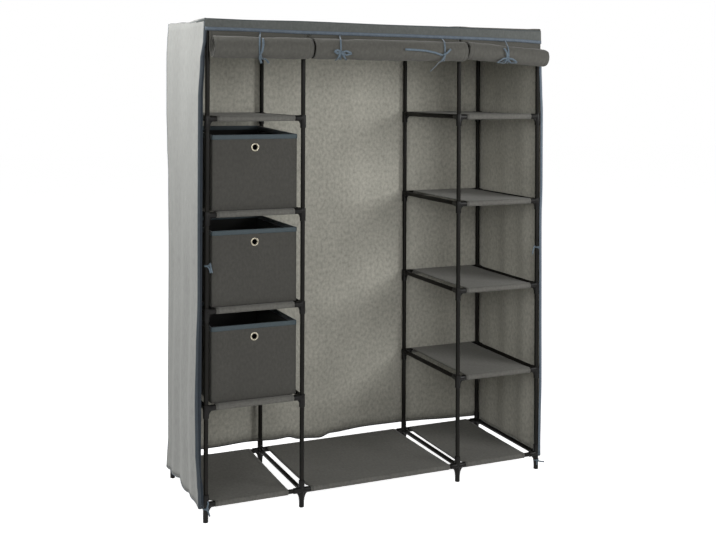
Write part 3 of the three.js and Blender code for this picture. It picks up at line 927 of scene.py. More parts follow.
@dataclass
class Connectors:
    """Moulded connectors: a sleeve on the post, a socket for each rail, and a curved gusset under each."""

    layout: Layout
    finishes: Finishes
    sleeve: float = 10.5 * MM
    socket: float = 10.2 * MM
    bore: float = 8.3 * MM
    reach: float = 31 * MM
    stop: float = 12 * MM
    long: float = 35 * MM
    short: float = 10.5 * MM
    cap: float = 3.5 * MM
    gusset_reach: float = 24 * MM
    gusset_drop: float = 30 * MM
    foot_reach: float = 25 * MM
    foot_drop: float = 36 * MM
    gusset_half: float = 3.7 * MM
    foot: float = 9.3 * MM
    foot_height: float = 60 * MM
    foot_seat: float = 12.3 * MM
    foot_lap: float = 4 * MM  # what the foot reaches up into the sleeve
    foot_rim: float = 1.6 * MM
    rim: float = 1.1 * MM
    top_rim: float = 2.2 * MM
    hanger: float = 44 * MM
    hanger_web: tuple[float, float, float] = (20 * MM, 3 * MM, 13 * MM)
    sunk: float = 0.86  # a gusset's hollow starts inside the sleeve, at this share of its radius
    lapped: float = 0.8  # and inside the socket, at this share of its radius
    over: float = 5 * MM  # what a cutting bar runs past the plastic
    shade_angle: float = 0.55

    def gusset(self, kind: Kind) -> Piece:
        """A web under a socket along +X, cut hollow by an elliptic bar."""
        reach = self.foot_reach if kind is Kind.BASE else self.gusset_reach
        drop = self.foot_drop if kind is Kind.BASE else self.gusset_drop
        web = block((0, -self.gusset_half, -drop), (reach, self.gusset_half, 0))
        hollow = rod("y", -2 * self.gusset_half, 2 * self.gusset_half, 1.0, sides=40)
        size = Matrix.Diagonal((reach - self.sleeve * self.sunk, 1, drop - self.socket * self.lapped, 1))
        hollow.data.transform(Matrix.Translation((reach, 0, -drop)) @ size)
        combine(web, hollow, "DIFFERENCE")
        return web

    def arm(self, kind: Kind, turn: float) -> list[Piece]:
        """A socket and its gusset, turned about the post."""
        pieces = [rod("x", 0, self.reach, self.socket, rim=self.rim), self.gusset(kind)]
        for piece in pieces:
            piece.data.transform(Matrix.Rotation(turn, 4, "Z"))
        return pieces

    def pattern(self, kind: Kind, blind: bool) -> Piece:
        """Model one connector with its post on the Z axis and its rails at the level of the origin.

        Args:
            kind: Base, middle or top.
            blind: Whether a third socket points to -X, for the centre bay's rail.

        Returns:
            The connector, its rails' sockets along +X and +Y.
        """
        low = 0.0 if kind is Kind.BASE else -self.long
        high = self.long if kind is Kind.BASE else self.short
        whole = rod("z", low, high, self.sleeve, rim=self.top_rim if kind is Kind.TOP else self.rim)
        turns = (0.0, QUARTER, math.pi) if blind else (0.0, QUARTER)
        parts = [part for turn in turns for part in self.arm(kind, turn)]
        if kind is Kind.BASE:
            parts.append(rod("z", -self.foot_height, self.foot_lap, self.foot, rim=self.foot_rim))
        for part in parts:
            combine(whole, part, "UNION")
        floor = -self.foot_seat if kind is Kind.BASE else low - self.over
        roof = high - self.cap if kind is Kind.TOP else high + self.over
        combine(whole, rod("z", floor, roof, self.bore), "DIFFERENCE")
        for turn in turns:
            bore = rod("x", self.stop, self.reach + self.over, self.bore)
            bore.data.transform(Matrix.Rotation(turn, 4, "Z"))
            combine(whole, bore, "DIFFERENCE")
        return smooth(whole, self.shade_angle)

    def hanger_tee(self) -> Piece:
        """The tee on a depth rail that carries the hanging rail, its socket along +X."""
        half = self.hanger / 2
        reach, thick, drop = self.hanger_web
        whole = rod("y", -half, half, self.socket, rim=self.rim)
        socket = rod("x", 0, self.reach, self.socket, rim=self.rim)
        for part in (socket, block((0, -thick, -drop), (reach, thick, 0))):
            combine(whole, part, "UNION")
        combine(whole, rod("y", -half - self.over, half + self.over, self.bore), "DIFFERENCE")
        combine(whole, rod("x", self.stop, self.reach + self.over, self.bore), "DIFFERENCE")
        return smooth(whole, self.shade_angle)

    def build(self) -> None:
        """Model each kind once and set copies on every post of every level."""
        kinds = [(kind, False) for kind in Kind] + [(Kind.BASE, True), (Kind.TOP, True)]
        patterns = {(kind, blind): self.pattern(kind, blind) for kind, blind in kinds}
        tee = self.hanger_tee()
        for side in Side:
            outer, inner = self.layout.pair(side)
            for number, level in enumerate(self.layout.levels):
                last = number == len(self.layout.levels) - 1
                kind = Kind.BASE if number == 0 else Kind.TOP if last else Kind.MIDDLE
                pieces = []
                for x in (outer, inner):
                    blind = x == inner and kind is not Kind.MIDDLE
                    for y in (self.layout.front, self.layout.back):
                        towards = (1 if x == min(outer, inner) else -1, 1 if y == self.layout.front else -1)
                        pieces.append(self.set_on(patterns[(kind, blind)], Vector((x, y, level)), towards))
                if kind is Kind.TOP:
                    middle = (self.layout.front + self.layout.back) / 2
                    pieces.append(self.set_on(tee, Vector((inner, middle, level)), (-side.value, 1)))
                ring = f"{side.label}_frame_{number}"
                name = f"{side.label}_ring_{number}_connectors"
                dress(joined(name, pieces), "root", self.finishes.plastic, nodes=[ring])
        for pattern in (*patterns.values(), tee):
            away(pattern)

    @staticmethod
    def set_on(pattern: Piece, spot: Vector, towards: tuple[int, int]) -> Piece:
        """Set a copy of a connector on a post.

        Args:
            pattern: The connector, its sockets along +X and +Y.
            spot: Where its post and its rails cross.
            towards: The signs of the ways that its sockets face there.

        Returns:
            The copy, turned right side out where it is mirrored.
        """
        twin = copied(pattern, Matrix.Translation(spot) @ Matrix.Diagonal((*towards, 1, 1)))
        if towards[0] * towards[1] < 0:
            twin.data.flip_normals()
        return twin


@dataclass
class Tubes:
    """Steel tubes pushed into the connectors: posts of five lengths, rails, and the hanging rail."""

    layout: Layout
    finishes: Finishes
    radius: float = 8 * MM
    wall: float = 0.6 * MM
    stop: float = 12.2 * MM
    joint: float = 0.4 * MM
    end: float = 0.6 * MM  # what a post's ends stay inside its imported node
    centre_end: float = 0.7 * MM  # the same for the rails of the centre bay
    mouth: float = 0.97  # the share of its radius that a mouth is turned in to
    lip: float = 0.6 * MM

    def length(self, axis: str, low: float, high: float, at: Sequence[float]) -> Piece:
        """One tube, open at both ends, with its wall turned in a little at the mouths."""
        middle = Vector(at)
        middle["xyz".index(axis)] = (low + high) / 2
        clear()
        bpy.ops.mesh.primitive_cylinder_add(
            vertices=28,
            radius=self.radius,
            depth=high - low,
            end_fill_type="NOTHING",
            location=middle,
            rotation=TURN_TO[axis],
        )
        tube = settle(bpy.context.object, "tube")
        with editing(tube):
            pick(tube, "EDGE", lambda edge: edge.is_boundary)
            bpy.ops.mesh.extrude_edges_move()
            slide = 1 + self.lip / ((high - low) / 2)
            for along, around in ((1.0, self.mouth), (slide, 1.0)):
                value = tuple(along if name == axis else around for name in "xyz")
                bpy.ops.transform.resize(value=value, center_override=middle)
            bpy.ops.mesh.select_all(action="SELECT")
            bpy.ops.mesh.normals_make_consistent(inside=False)
        finish_with(tube, "SOLIDIFY", thickness=self.wall, offset=-1.0)
        return smooth(tube, 0.5)

    def posts(self) -> None:
        """Set the posts, each of five tubes that meet inside the connectors."""
        lay = self.layout
        for side in Side:
            for which, x in zip(("outer", "inner"), lay.pair(side)):
                for row, y in (("front", lay.front), ("back", lay.back)):
                    node = f"{side.label}_upright_{which}_{row}"
                    low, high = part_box(node)
                    stops = [low.z + self.end, *lay.levels[1:-1], high.z - self.end]
                    spans = zip(stops, stops[1:])
                    tubes = [self.length("z", a + self.joint, b - self.joint, (x, y, 0)) for a, b in spans]
                    dress(joined(f"{node}_tubes", tubes), "root", self.finishes.tube, nodes=[node])

    def rails(self) -> None:
        """Set the four rails of every ring."""
        lay = self.layout
        for side in Side:
            outer, inner = sorted(lay.pair(side))
            across = self.length("x", outer + self.stop, inner - self.stop, (0, 0, 0))
            deep = self.length("y", lay.front + self.stop, lay.back - self.stop, (0, 0, 0))
            for number, level in enumerate(lay.levels):
                tubes = [copied(across, Matrix.Translation((0, y, level))) for y in (lay.front, lay.back)]
                tubes += [copied(deep, Matrix.Translation((x, 0, level))) for x in (outer, inner)]
                node, name = f"{side.label}_frame_{number}", f"{side.label}_ring_{number}_rails"
                dress(joined(name, tubes), "root", self.finishes.tube, nodes=[node])
            away(across)
            away(deep)

    def centre(self) -> None:
        """Set the rails of the centre bay and the hanging rail."""
        nodes = [f"centre_rail_{level}_{row}" for level in ("base", "top") for row in ("front", "back")]
        for node in (*nodes, "hanging_rail"):
            low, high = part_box(node)
            middle = (low + high) / 2
            tube = self.length("x", low.x + self.centre_end, high.x - self.centre_end, middle)
            tube.name = f"{node}_tube"
            dress(tube, "root", self.finishes.tube, nodes=[node])

    def build(self) -> None:
        """Set every tube."""
        self.posts()
        self.rails()
        self.centre()


@dataclass
class Shelves:
    """Shelf cloths: a deck stretched between two sleeves that the front and back rails run through."""

    layout: Layout
    finishes: Finishes
    cloth: float = 1.3 * MM
    sleeve: float = 10.4 * MM
    deck: float = 9.7 * MM
    seam: float = 19 * MM
    seam_bend: float = 13 * MM
    seam_drop: float = 5.5 * MM
    sag: float = 3.0 * MM
    centre_sag: float = 1.3  # the centre cloth hangs by this many times as much
    seam_under: float = 3 * MM
    inset: float = 0.5 * MM
    # a drawer's floor keeps these flat
    loaded: tuple[str, ...] = ("left_shelf_1", "left_shelf_2", "left_shelf_3")
    free_from: float = 0.03  # the share of the sag from which a cloth's edge leaves its sleeve's end
    # the base cloths are pulled to one side: their left edge in front and behind, then their right edge
    edges: dict[str, tuple[float, float, float, float]] = field(
        default_factory=lambda: {
            "left_shelf_0": (-0.6465, -0.6465, -0.3600, -0.3515),
            "right_shelf_0": (0.3335, 0.3375, 0.6150, 0.6220),
            "centre_shelf": (-0.2850, -0.2865, 0.2855, 0.2800),
        }
    )

    def outline(self) -> list[tuple[float, float, float]]:
        """The path of the cloth round the rails, from seam to seam.

        Returns:
            Points as (depth, height over the level, share of the sag).
        """
        lay = self.layout
        under = self.deck - self.seam_under
        arc = spread(math.radians(-62), math.radians(-270), 16)

        def sleeve(row: float, sign: int) -> list[tuple[float, float, float]]:
            """The turn round one rail, from the seam behind it to the top of the deck."""
            seam = [(row + sign * self.seam, under, 0.0)]
            seam.append((row + sign * self.seam_bend, under - self.seam_drop, 0.0))
            radius = self.sleeve
            return seam + [(row + sign * radius * math.cos(t), radius * math.sin(t), 0.0) for t in arc]

        front, back = sleeve(lay.front, 1), sleeve(lay.back, -1)
        low, high = front[-1][0], back[-1][0]
        shares = spread(0, 1, 26)[1:-1]
        top = [(low + (high - low) * share, self.deck, math.sin(math.pi * share) ** 0.8) for share in shares]
        return front + top + back[::-1]

    def shelf(self, node: str, level: float, sag: float, seed: int) -> None:
        """Model one shelf cloth.

        Args:
            node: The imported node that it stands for.
            level: The height of its rails.
            sag: How far the middle of its deck hangs.
            seed: Which unevenness it has.
        """
        low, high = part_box(node)
        lay = self.layout
        count = 44 if high.x - low.x > 0.4 else 26
        ends = self.edges.get(node, (low.x, low.x, high.x, high.x))
        wrinkle = 1.5 * MM if node in self.edges else 0.7 * MM if sag else 0.15 * MM
        grid = []
        for depth, height, share in self.outline():
            back = clamp((depth - lay.front) / (lay.back - lay.front))
            free = ease(share / self.free_from)
            left, right = ends[0] + (ends[1] - ends[0]) * back, ends[2] + (ends[3] - ends[2]) * back
            left += (max(left, low.x) - left) * (1 - free)
            row = []
            for x in spread(left + self.inset, right - self.inset, count):
                place = (x - left) / (right - left)
                give = sag * share * (0.35 + 0.65 * math.sin(math.pi * place))
                rough = 0.6 * ripple(x, depth, seed, 0.13) + 0.4 * ripple(x, depth, seed + 50, 0.05)
                crease = wrinkle * share * rough
                row.append(Vector((x, depth, level + height - give - abs(crease))))
            grid.append(row)
        width = high.x - low.x
        piece = sheet_piece(f"{node}_cloth", grid, self.cloth, hems(width), outward=-1.0)
        length = length_of([row[0] for row in grid])
        self.rails(node)
        dress(piece, "root", self.finishes.shelf, self.finishes.shelf, nodes=[node])

    def rails(self, node: str) -> list[str]:
        """The pieces that a shelf cloth hangs from."""
        if node == "centre_shelf":
            return ["centre_rail_base_front_tube", "centre_rail_base_back_tube"]
        side, _, number = node.split("_")
        return [f"{side}_ring_{number}_rails"]

    def build(self) -> None:
        """Model the shelf cloths of both columns and of the centre bay."""
        seed = 11
        for side in Side:
            for number, level in enumerate(self.layout.levels[:-1]):
                node = f"{side.label}_shelf_{number}"
                self.shelf(node, level, 0.0 if node in self.loaded else self.sag, seed)
                seed += 1
        self.shelf("centre_shelf", self.layout.levels[0], self.sag * self.centre_sag, seed)


# The drawers


@dataclass
class Drawers:
    """Pull-out boxes of cloth over board, with a taped rim and an eyelet for a finger in the front."""

    finishes: Finishes
    wall: float = 3 * MM
    corner: float = 5 * MM
    floor_bevel: float = 2.5 * MM
    bow: float = 1.6 * MM
    rim: float = 16 * MM
    tape: float = 1.0 * MM
    hole: float = 10.95 * MM
    punch: float = 15 * MM  # half the length of the bar that cuts the hole
    eyelet_drop: float = 44 * MM
    front_ring: tuple[float, float] = (12.4 * MM, 2.2 * MM)
    back_ring: tuple[float, float] = (11.2 * MM, 1.8 * MM)
    barrel: float = 10.6 * MM
    barrel_wall: float = 1.0 * MM
    clear: float = 1.3 * MM  # what the board floor clears the shelf's front sleeve by
    back_rise: float = 16 * MM  # how much higher the top drawer's rim stands at its back

    def box(self, name: str) -> tuple[Vector, Vector]:
        """Model the cloth box of a drawer.

        Args:
            name: bottom, middle or top.

        Returns:
            The lowest and the highest corner of the whole drawer.
        """
        low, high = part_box(f"drawer_{name}_box")
        _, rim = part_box(f"drawer_{name}_binding")
        low = low + Vector((0, 0, self.clear))
        box = block(low, high)
        with editing(box):
            pick(box, "FACE", lambda face: face.normal.z > 0.9)
            bpy.ops.mesh.delete(type="FACE")
            pick(box, "EDGE", lambda edge: abs((edge.verts[0].co - edge.verts[1].co).z) > 0.1)
            bpy.ops.mesh.bevel(offset=self.corner, segments=4, affect="EDGES")
            floor = low.z + 1e-5
            pick(box, "EDGE", lambda edge: edge.verts[0].co.z < floor and edge.verts[1].co.z < floor)
            bpy.ops.mesh.bevel(offset=self.floor_bevel, segments=3, affect="EDGES")
        self.divide(box, low, high)
        self.soften(box, low, high)
        thicken(box, self.wall, -1.0)
        where = Vector(((low.x + high.x) / 2, low.y, rim.z - self.eyelet_drop))
        combine(box, rod("y", -self.punch, self.punch, self.hole, at=where), "DIFFERENCE")
        for vertex in box.data.vertices:
            up = clamp((vertex.co.z - low.z) / (high.z - low.z))
            vertex.co.z += self.rise(name, (vertex.co.y - low.y) / (high.y - low.y)) * up
        self.unwrap(box)
        smooth(box, 0.5)
        box.name = f"drawer_{name}_cloth_box"
        nodes = [f"drawer_{name}_box"]
        # Its inner face takes the near-black finish that paints the shade within the box.
        dress(box, f"drawer_{name}", self.finishes.drawer, self.finishes.lining, nodes=nodes)
        return low, rim

    def rise(self, name: str, back: float) -> float:
        """How much higher a drawer's rim stands at a share of the way to its back."""
        return self.back_rise * clamp(back) if name == "top" else 0.0

    def divide(self, box: Piece, low: Vector, high: Vector) -> None:
        """Cut the box's walls into even rows and columns, so that they can bow."""
        cuts = [((x, 0, 0), (1, 0, 0)) for x in spread(low.x, high.x, 8)[1:-1]]
        cuts += [((0, y, 0), (0, 1, 0)) for y in spread(low.y, high.y, 10)[1:-1]]
        cuts += [((0, 0, z), (0, 0, 1)) for z in spread(low.z, high.z, 7)[1:-1]]
        with editing(box):
            for place, normal in cuts:
                bpy.ops.mesh.select_all(action="SELECT")
                bpy.ops.mesh.bisect(plane_co=place, plane_no=normal)

    def soften(self, box: Piece, low: Vector, high: Vector) -> None:
        """Bow the walls inwards between their corners, most at the rim."""
        size = high - low
        for vertex in box.data.vertices:
            x, y, z = ((vertex.co[axis] - low[axis]) / size[axis] for axis in range(3))
            give = self.bow * (0.25 + 0.75 * z) * min(z / 0.08, 1.0)
            swell_x = math.sin(math.pi * y) * give
            swell_y = math.sin(math.pi * x) * give
            if x < 0.002 or x > 0.998:
                vertex.co.x += swell_x if x < 0.5 else -swell_x
            if y < 0.002 or y > 0.998:
                vertex.co.y += swell_y if y < 0.5 else -swell_y

    def unwrap(self, piece: Piece) -> None:
        """Lay a UV map in metres on each wall, by the way that it faces."""
        mesh = piece.data
        layer = mesh.uv_layers.get("UVMap") or mesh.uv_layers.new(name="UVMap")
        for face in mesh.polygons:
            facing = max(range(3), key=lambda axis: abs(face.normal[axis]))
            for corner in face.loop_indices:
                spot = mesh.vertices[mesh.loops[corner].vertex_index].co
                across, along = ((spot.y, spot.z), (spot.x, spot.z), (spot.x, spot.y))[facing]
                layer.data[corner].uv = (across, along)

    def profile(self, foot: float, top: float) -> list[tuple[float, float]]:
        """The rim tape from side to side: up the outside, over the rim and down the inside.

        Args:
            foot: The height of the tape's edges.
            top: The height of its turn.

        Returns:
            Points as (distance outwards from the box's face, height).
        """
        inset = self.wall / 2
        outer = self.tape * 0.5 + 0.3 * MM
        inner = -self.wall - self.tape * 0.5 - 0.3 * MM
        bend = 2 * MM
        heights = (foot, foot + 4 * MM, foot + 9 * MM, top - bend)
        turns = spread(0, math.pi, 8)[1:-1]
        points = [(outer, height) for height in heights]
        for turn in turns:
            points.append((-inset + (outer + inset) * math.cos(turn), top - bend + bend * math.sin(turn)))
        return points + [(inner, height) for height in reversed(heights)]

    def binding(self, name: str, rim: Vector) -> None:
        """Fold a tape over the rim of a box.

        Args:
            name: bottom, middle or top.
            rim: The highest corner of the tape.
        """
        box_low, box_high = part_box(f"drawer_{name}_box")
        half_x, half_y = (box_high.x - box_low.x) / 2, (box_high.y - box_low.y) / 2
        middle = (box_low + box_high) / 2
        foot = rim.z - self.rim

        def bowed(place: float, half: float) -> float:
            """How far a wall bows inwards at a place along it."""
            return self.bow * math.sin(math.pi * (place + half) / (2 * half))

        grid = []
        for offset, height in self.profile(foot, rim.z - self.tape / 2):
            row = []
            for x, y, normal_x, normal_y in self.loop(half_x, half_y):
                bow_x = bowed(x, half_x) if abs(normal_y) > 0.7 else 0.0
                bow_y = bowed(y, half_y) if abs(normal_x) > 0.7 else 0.0
                wave = 0.25 * MM * ripple(x, y, 5, 0.05) * (1 if height < foot + 5 * MM else 0)
                spot_x = x + normal_x * (offset + wave - bow_y)
                spot_y = y + normal_y * (offset + wave - bow_x)
                rise = self.rise(name, (spot_y + half_y) / (2 * half_y))
                row.append(Vector((middle.x + spot_x, middle.y + spot_y, height + wave + rise)))
            grid.append(row)

        def seams(along: float, _: float) -> float:
            """How far a point is from the tape's edges."""
            return min(along, 1 - along) * 2 * self.rim

        piece = sheet_piece(f"drawer_{name}_rim_tape", grid, self.tape, seams, closed=True, outward=0.0)
        nodes = [f"drawer_{name}_binding"]
        dress(piece, f"drawer_{name}", self.finishes.binding, self.finishes.binding, nodes=nodes)

    def loop(self, half_x: float, half_y: float) -> list[tuple[float, float, float, float]]:
        """A rounded rectangle as points with the way that each faces, for the rim."""
        points = []
        radius = self.corner
        corners = [(1, -1, -QUARTER), (1, 1, 0.0), (-1, 1, QUARTER), (-1, -1, math.pi)]
        for index, (sx, sy, start) in enumerate(corners):
            cx, cy = sx * (half_x - radius), sy * (half_y - radius)
            arc = [(math.cos(t), math.sin(t)) for t in spread(start, start + QUARTER, 4)]
            points += [(cx + radius * c, cy + radius * s, c, s) for c, s in arc]
            nx, ny, _ = corners[(index + 1) % 4]
            ex, ey = nx * (half_x - radius), ny * (half_y - radius)
            c, s = arc[-1]
            for share in spread(0, 1, 10)[1:-1]:
                x, y = cx + (ex - cx) * share, cy + (ey - cy) * share
                points.append((x + radius * c, y + radius * s, c, s))
        return points

    @staticmethod
    def ring(size: tuple[float, float], sides: int, flatness: float, behind: float) -> Piece:
        """A flattened ring of the eyelet, its hole along Y.

        Args:
            size: Its own radius and that of its wire.
            sides: Sides of the wire's round.
            flatness: The share of the wire's thickness that is left along Y.
            behind: Where it stands along Y.

        Returns:
            The ring, with its place in its mesh.
        """
        clear()
        bpy.ops.mesh.primitive_torus_add(
            major_radius=size[0],
            minor_radius=size[1],
            major_segments=40,
            minor_segments=sides,
            rotation=(QUARTER, 0, 0),
        )
        ring = settle(bpy.context.object, "ring")
        ring.data.transform(Matrix.Translation((0, behind, 0)) @ Matrix.Diagonal((1, flatness, 1, 1)))
        return ring

    def eyelet_pattern(self) -> Piece:
        """Model an eyelet, its hole along Y: a rolled front ring, a barrel and a flat back ring."""
        front = self.ring(self.front_ring, 12, 0.45, -0.9 * MM)
        back = self.ring(self.back_ring, 10, 0.4, self.wall + 0.8 * MM)
        clear()
        depth = self.wall + 1.4 * MM
        bpy.ops.mesh.primitive_cylinder_add(
            vertices=40, radius=self.barrel, depth=depth, end_fill_type="NOTHING", rotation=(QUARTER, 0, 0)
        )
        barrel = settle(bpy.context.object, "barrel")
        barrel.data.transform(Matrix.Translation((0, self.wall / 2, 0)))
        finish_with(barrel, "SOLIDIFY", thickness=self.barrel_wall, offset=-1.0)
        return smooth(joined("eyelet", [front, back, barrel]), 0.9)

    def build(self) -> None:
        """Model the three drawers."""
        eyelet = self.eyelet_pattern()
        for name in ("bottom", "middle", "top"):
            low, rim = self.box(name)
            self.binding(name, rim)
            box_low, box_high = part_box(f"drawer_{name}_box")
            share = 1 - self.eyelet_drop / (rim.z - low.z)
            sink = self.bow * (0.25 + 0.75 * share)
            place = ((box_low.x + box_high.x) / 2, box_low.y + sink, rim.z - self.eyelet_drop)
            ring = copied(eyelet, Matrix.Translation(place))
            ring.name = f"drawer_{name}_eyelet_ring"
            dress(ring, f"drawer_{name}", self.finishes.plated, nodes=[f"drawer_{name}_eyelet"])
        away(eyelet)


# The cover


@dataclass
class Cover:
    """The cloth cover: a roof with a front valance, two sides that turn the front corners, and a back."""

    layout: Layout
    finishes: Finishes
    cloth: float = 1.0 * MM
    piping: float = 1.9 * MM
    corner: float = 5 * MM
    side_fold: float = 7 * MM
    side_waves: float = 3.5
    back_fold: float = 7 * MM
    back_waves: float = 6.0
    roof_corner: float = 20 * MM
    # the front and back edges of each side, by height: the left one stands off its post most at knee height
    left_edge: Profile = (
        (0.05, -0.6840), (0.093, -0.6850), (0.144, -0.6890), (0.247, -0.6950), (0.418, -0.6970),
        (0.589, -0.6940), (0.76, -0.6890), (1.103, -0.6900), (1.446, -0.6900), (1.583, -0.6830),
        (1.65, -0.6730), (1.721, -0.6705),
    )
    left_inner: Profile = (
        (0.05, -0.668), (0.12, -0.669), (0.17, -0.6775), (1.45, -0.676), (1.583, -0.670),
        (1.72, -0.6692),
    )
    left_back: Profile = (
        (0.05, -0.0050), (0.10, -0.0020), (0.16, 0.0015), (0.42, 0.0000), (0.83, 0.0010),
        (1.14, -0.0020), (1.29, -0.0070), (1.40, -0.0100), (1.60, -0.0105), (1.66, -0.0080),
        (1.715, -0.0040),
    )
    right_edge: Profile = (
        (0.05, 0.6885), (0.108, 0.6880), (0.187, 0.6895), (0.343, 0.6925), (0.66, 0.6908),
        (0.97, 0.6895), (1.127, 0.6930), (1.40, 0.6930), (1.48, 0.6895), (1.566, 0.6865),
        (1.721, 0.6855),
    )
    # the heights of the hems, by the share of the way back, and of the back's hem, by the place across
    left_hem: Profile = (
        (0.0, 0.052), (0.168, 0.066), (0.27, 0.064), (0.38, 0.056), (0.53, 0.073),
        (0.66, 0.060), (0.8, 0.052), (1.0, 0.041),
    )
    right_hem: Profile = ((0.0, 0.052), (0.3, 0.056), (0.7, 0.056), (1.0, 0.060))
    back_hem: Profile = (
        (-0.672, 0.0870), (-0.541, 0.0875), (-0.386, 0.0926), (-0.241, 0.0878), (-0.186, 0.0908),
        (-0.135, 0.0762), (-0.048, 0.0713), (-0.005, 0.0852), (0.2195, 0.0933), (0.406, 0.0875),
        (0.574, 0.0779), (0.686, 0.0760),
    )
    # how much higher the left side's top stands, by distance from its front, and its tape's lap, by height
    left_rise: Profile = (
        (0.0, 0.0), (0.1, -0.0005), (0.19, -0.0025), (0.26, -0.001), (0.32, 0.0035),
        (0.39, 0.0042), (0.49, 0.0085),
    )
    tape_front: Profile = ((0.3, 0.0035), (0.55, 0.0005), (1.40, 0.0005), (1.60, 0.0030))
    front_lift: float = 3.6 * MM  # what the left side's top stands higher besides, near its front
    # the height of the roof's front, and of the valance's edge, by the place across
    roof_front: Profile = (
        (-0.68, 1.7222), (-0.512, 1.7206), (-0.327, 1.7222), (0.065, 1.7186), (0.274, 1.7165),
        (0.404, 1.7145), (0.583, 1.7130), (0.69, 1.7135),
    )
    valance_edge: Profile = (
        (-0.68, 1.6820), (-0.5475, 1.6816), (-0.300, 1.6774), (0.0655, 1.6754), (0.232, 1.6737),
        (0.404, 1.6719), (0.537, 1.6690), (0.69, 1.6640),
    )
    tape: float = 0.6 * MM
    roof_radius: float = 5 * MM
    roof_drop: float = 9 * MM
    roof_sag: float = 2.2 * MM
    valance_row: float = 11 * MM
    side_size: tuple[float, float] = (0.48, 1.67)  # its depth and height
    drag: float = 2.2 * MM  # the height of the crease that runs up and back from a side's front edge
    unevenness: float = 1.0 * MM
    blended: float = 0.25  # the left edge's extra height fades into the roof and the back over this distance

    def side_offset(self, along: float, up: float) -> float:
        """How far a side stands out in its folds, by the shares of the way back and up."""
        depth, height = self.side_size
        soft = self.unevenness * ripple(along * depth, up * height, 3, 0.22)
        off = (along * depth - 0.5 * (up - 0.12) * height) / 0.05
        crease = self.drag * math.exp(-off * off) * fold(along, 1.0) * ease(1 - up / 0.3)
        slack = math.sin(math.pi * (1 - up) / 2)
        deep = self.side_fold * fold(along + 0.03 * math.sin(4 * up), self.side_waves) * slack
        return deep * ease(min(along, 1 - along) / 0.1) + soft * fold(along, 1.0) + crease

    def edge(self, side: Side, height: float) -> tuple[float, float]:
        """A side's front edge, across and in depth: the right one turns back under the roof's corner."""
        low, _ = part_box(side.cover)
        back = 14 * MM * ease((height - 1.60) / 0.08) if side is Side.RIGHT else 0.0
        marks = self.left_edge if side is Side.LEFT else self.right_edge
        return between(marks, height), low.y + self.cloth + back

    def side_line(self, side: Side, up: float, height: float) -> list[Vector]:
        """One level line of a side, from its front corner to its back corner.

        Args:
            side: Which side.
            up: The share of the way up.
            height: The level.

        Returns:
            The points of the cloth's inner face there.
        """
        low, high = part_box(side.cover)
        out = side.value
        wall = high.x - 3 * MM + between(self.left_back, height) if side is Side.LEFT else low.x + 3 * MM
        edge, front = self.edge(side, height)
        back = high.y
        points = []
        for turn in spread(0, QUARTER, 4)[1:-1]:
            across = edge - out * self.corner * (1 - math.sin(turn))
            points.append(Vector((across, front + self.corner * (1 - math.cos(turn)), height)))
        for along in spread(0, 1, 60):
            place = front + self.corner + (back - front - self.corner) * along
            lean = edge + (wall - edge) * along
            points.append(Vector((lean + out * self.side_offset(along, up), place, height)))
        return points

    def side(self, side: Side) -> None:
        """Hang one side of the cover with its hem, its front facing and its piping; the facing's darkness is
        partly painted shade.
        """
        low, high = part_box(side.cover)
        hem = self.left_hem if side is Side.LEFT else self.right_hem
        top = high.z
        grid, bound = [], []
        for up in spread(0, 1, 64):
            level = low.z + (top - low.z) * up
            line = self.side_line(side, up, level)
            bound.append((level, hem[0][1] + (top - hem[0][1]) * up))
            last = len(line) - 1
            for index, point in enumerate(line):
                foot = between(hem, index / last)
                lift = 0.0
                if side is Side.LEFT:
                    from_front = point.y - low.y
                    lift = self.front_lift * (1 - ease((from_front - 0.1) / 0.15))
                    lift += between(self.left_rise, from_front)
                line[index] = Vector((point.x, point.y, foot + (top + lift - foot) * up))
            grid.append(line)
        node = side.cover
        sewn = hems(high.y - low.y, top - low.z)
        piece = sheet_piece(f"{node}_panel", grid, self.cloth, sewn, flip=side is Side.LEFT)
        dress(piece, "root", self.finishes.cover, self.finishes.inside, nodes=[node])
        self.facing(side, [row[0] for row in grid], [row[2] for row in grid])
        self.bind(side, bound)
        back_edge = [row[-1] + Vector((side.value * 0.6 * MM, -0.5 * MM, 0)) for row in grid]
        foot_edge = [point + Vector((side.value * 0.8 * MM, 0, 0.4 * MM)) for point in grid[0]]
        for name, line in (("back", back_edge), ("foot", foot_edge)):
            piped = tube_piece(f"{node}_{name}_piping", line, self.piping * 0.6)
            dress(piped, "root", self.finishes.piping)

    def bind(self, side: Side, bound: Sequence[tuple[float, float]]) -> None:
        """Bind the front edge of a side with a tape folded round its corner.

        Args:
            side: Which side.
            bound: The levels of its rows, as drawn and as hemmed.
        """
        left, out = side is Side.LEFT, side.value
        radius = self.corner + 1.5 * MM
        grid = []
        for level, z in bound:
            edge, front = self.edge(side, level)
            middle = Vector((edge - out * self.corner, front + self.corner, z))
            turns = (0.0, 0.4, 0.8, 1.2, QUARTER)
            arc = [middle + radius * Vector((out * math.sin(t), -math.cos(t), 0)) for t in turns]
            inwards = between(self.tape_front, level) if left else 7 * MM
            grid.append([arc[0] - Vector((out * inwards, 0, 0)), *arc, arc[-1] + Vector((0, 1 * MM, 0))])
        piece = sheet_piece(f"{side.cover}_edge_tape", grid, self.tape, flip=left, outward=0.0)
        # The left tape takes the dark finish that paints its shade; the right one takes the piping's own
        # colour.
        finish = self.finishes.bound if left else self.finishes.piping
        dress(piece, "root", finish, finish)

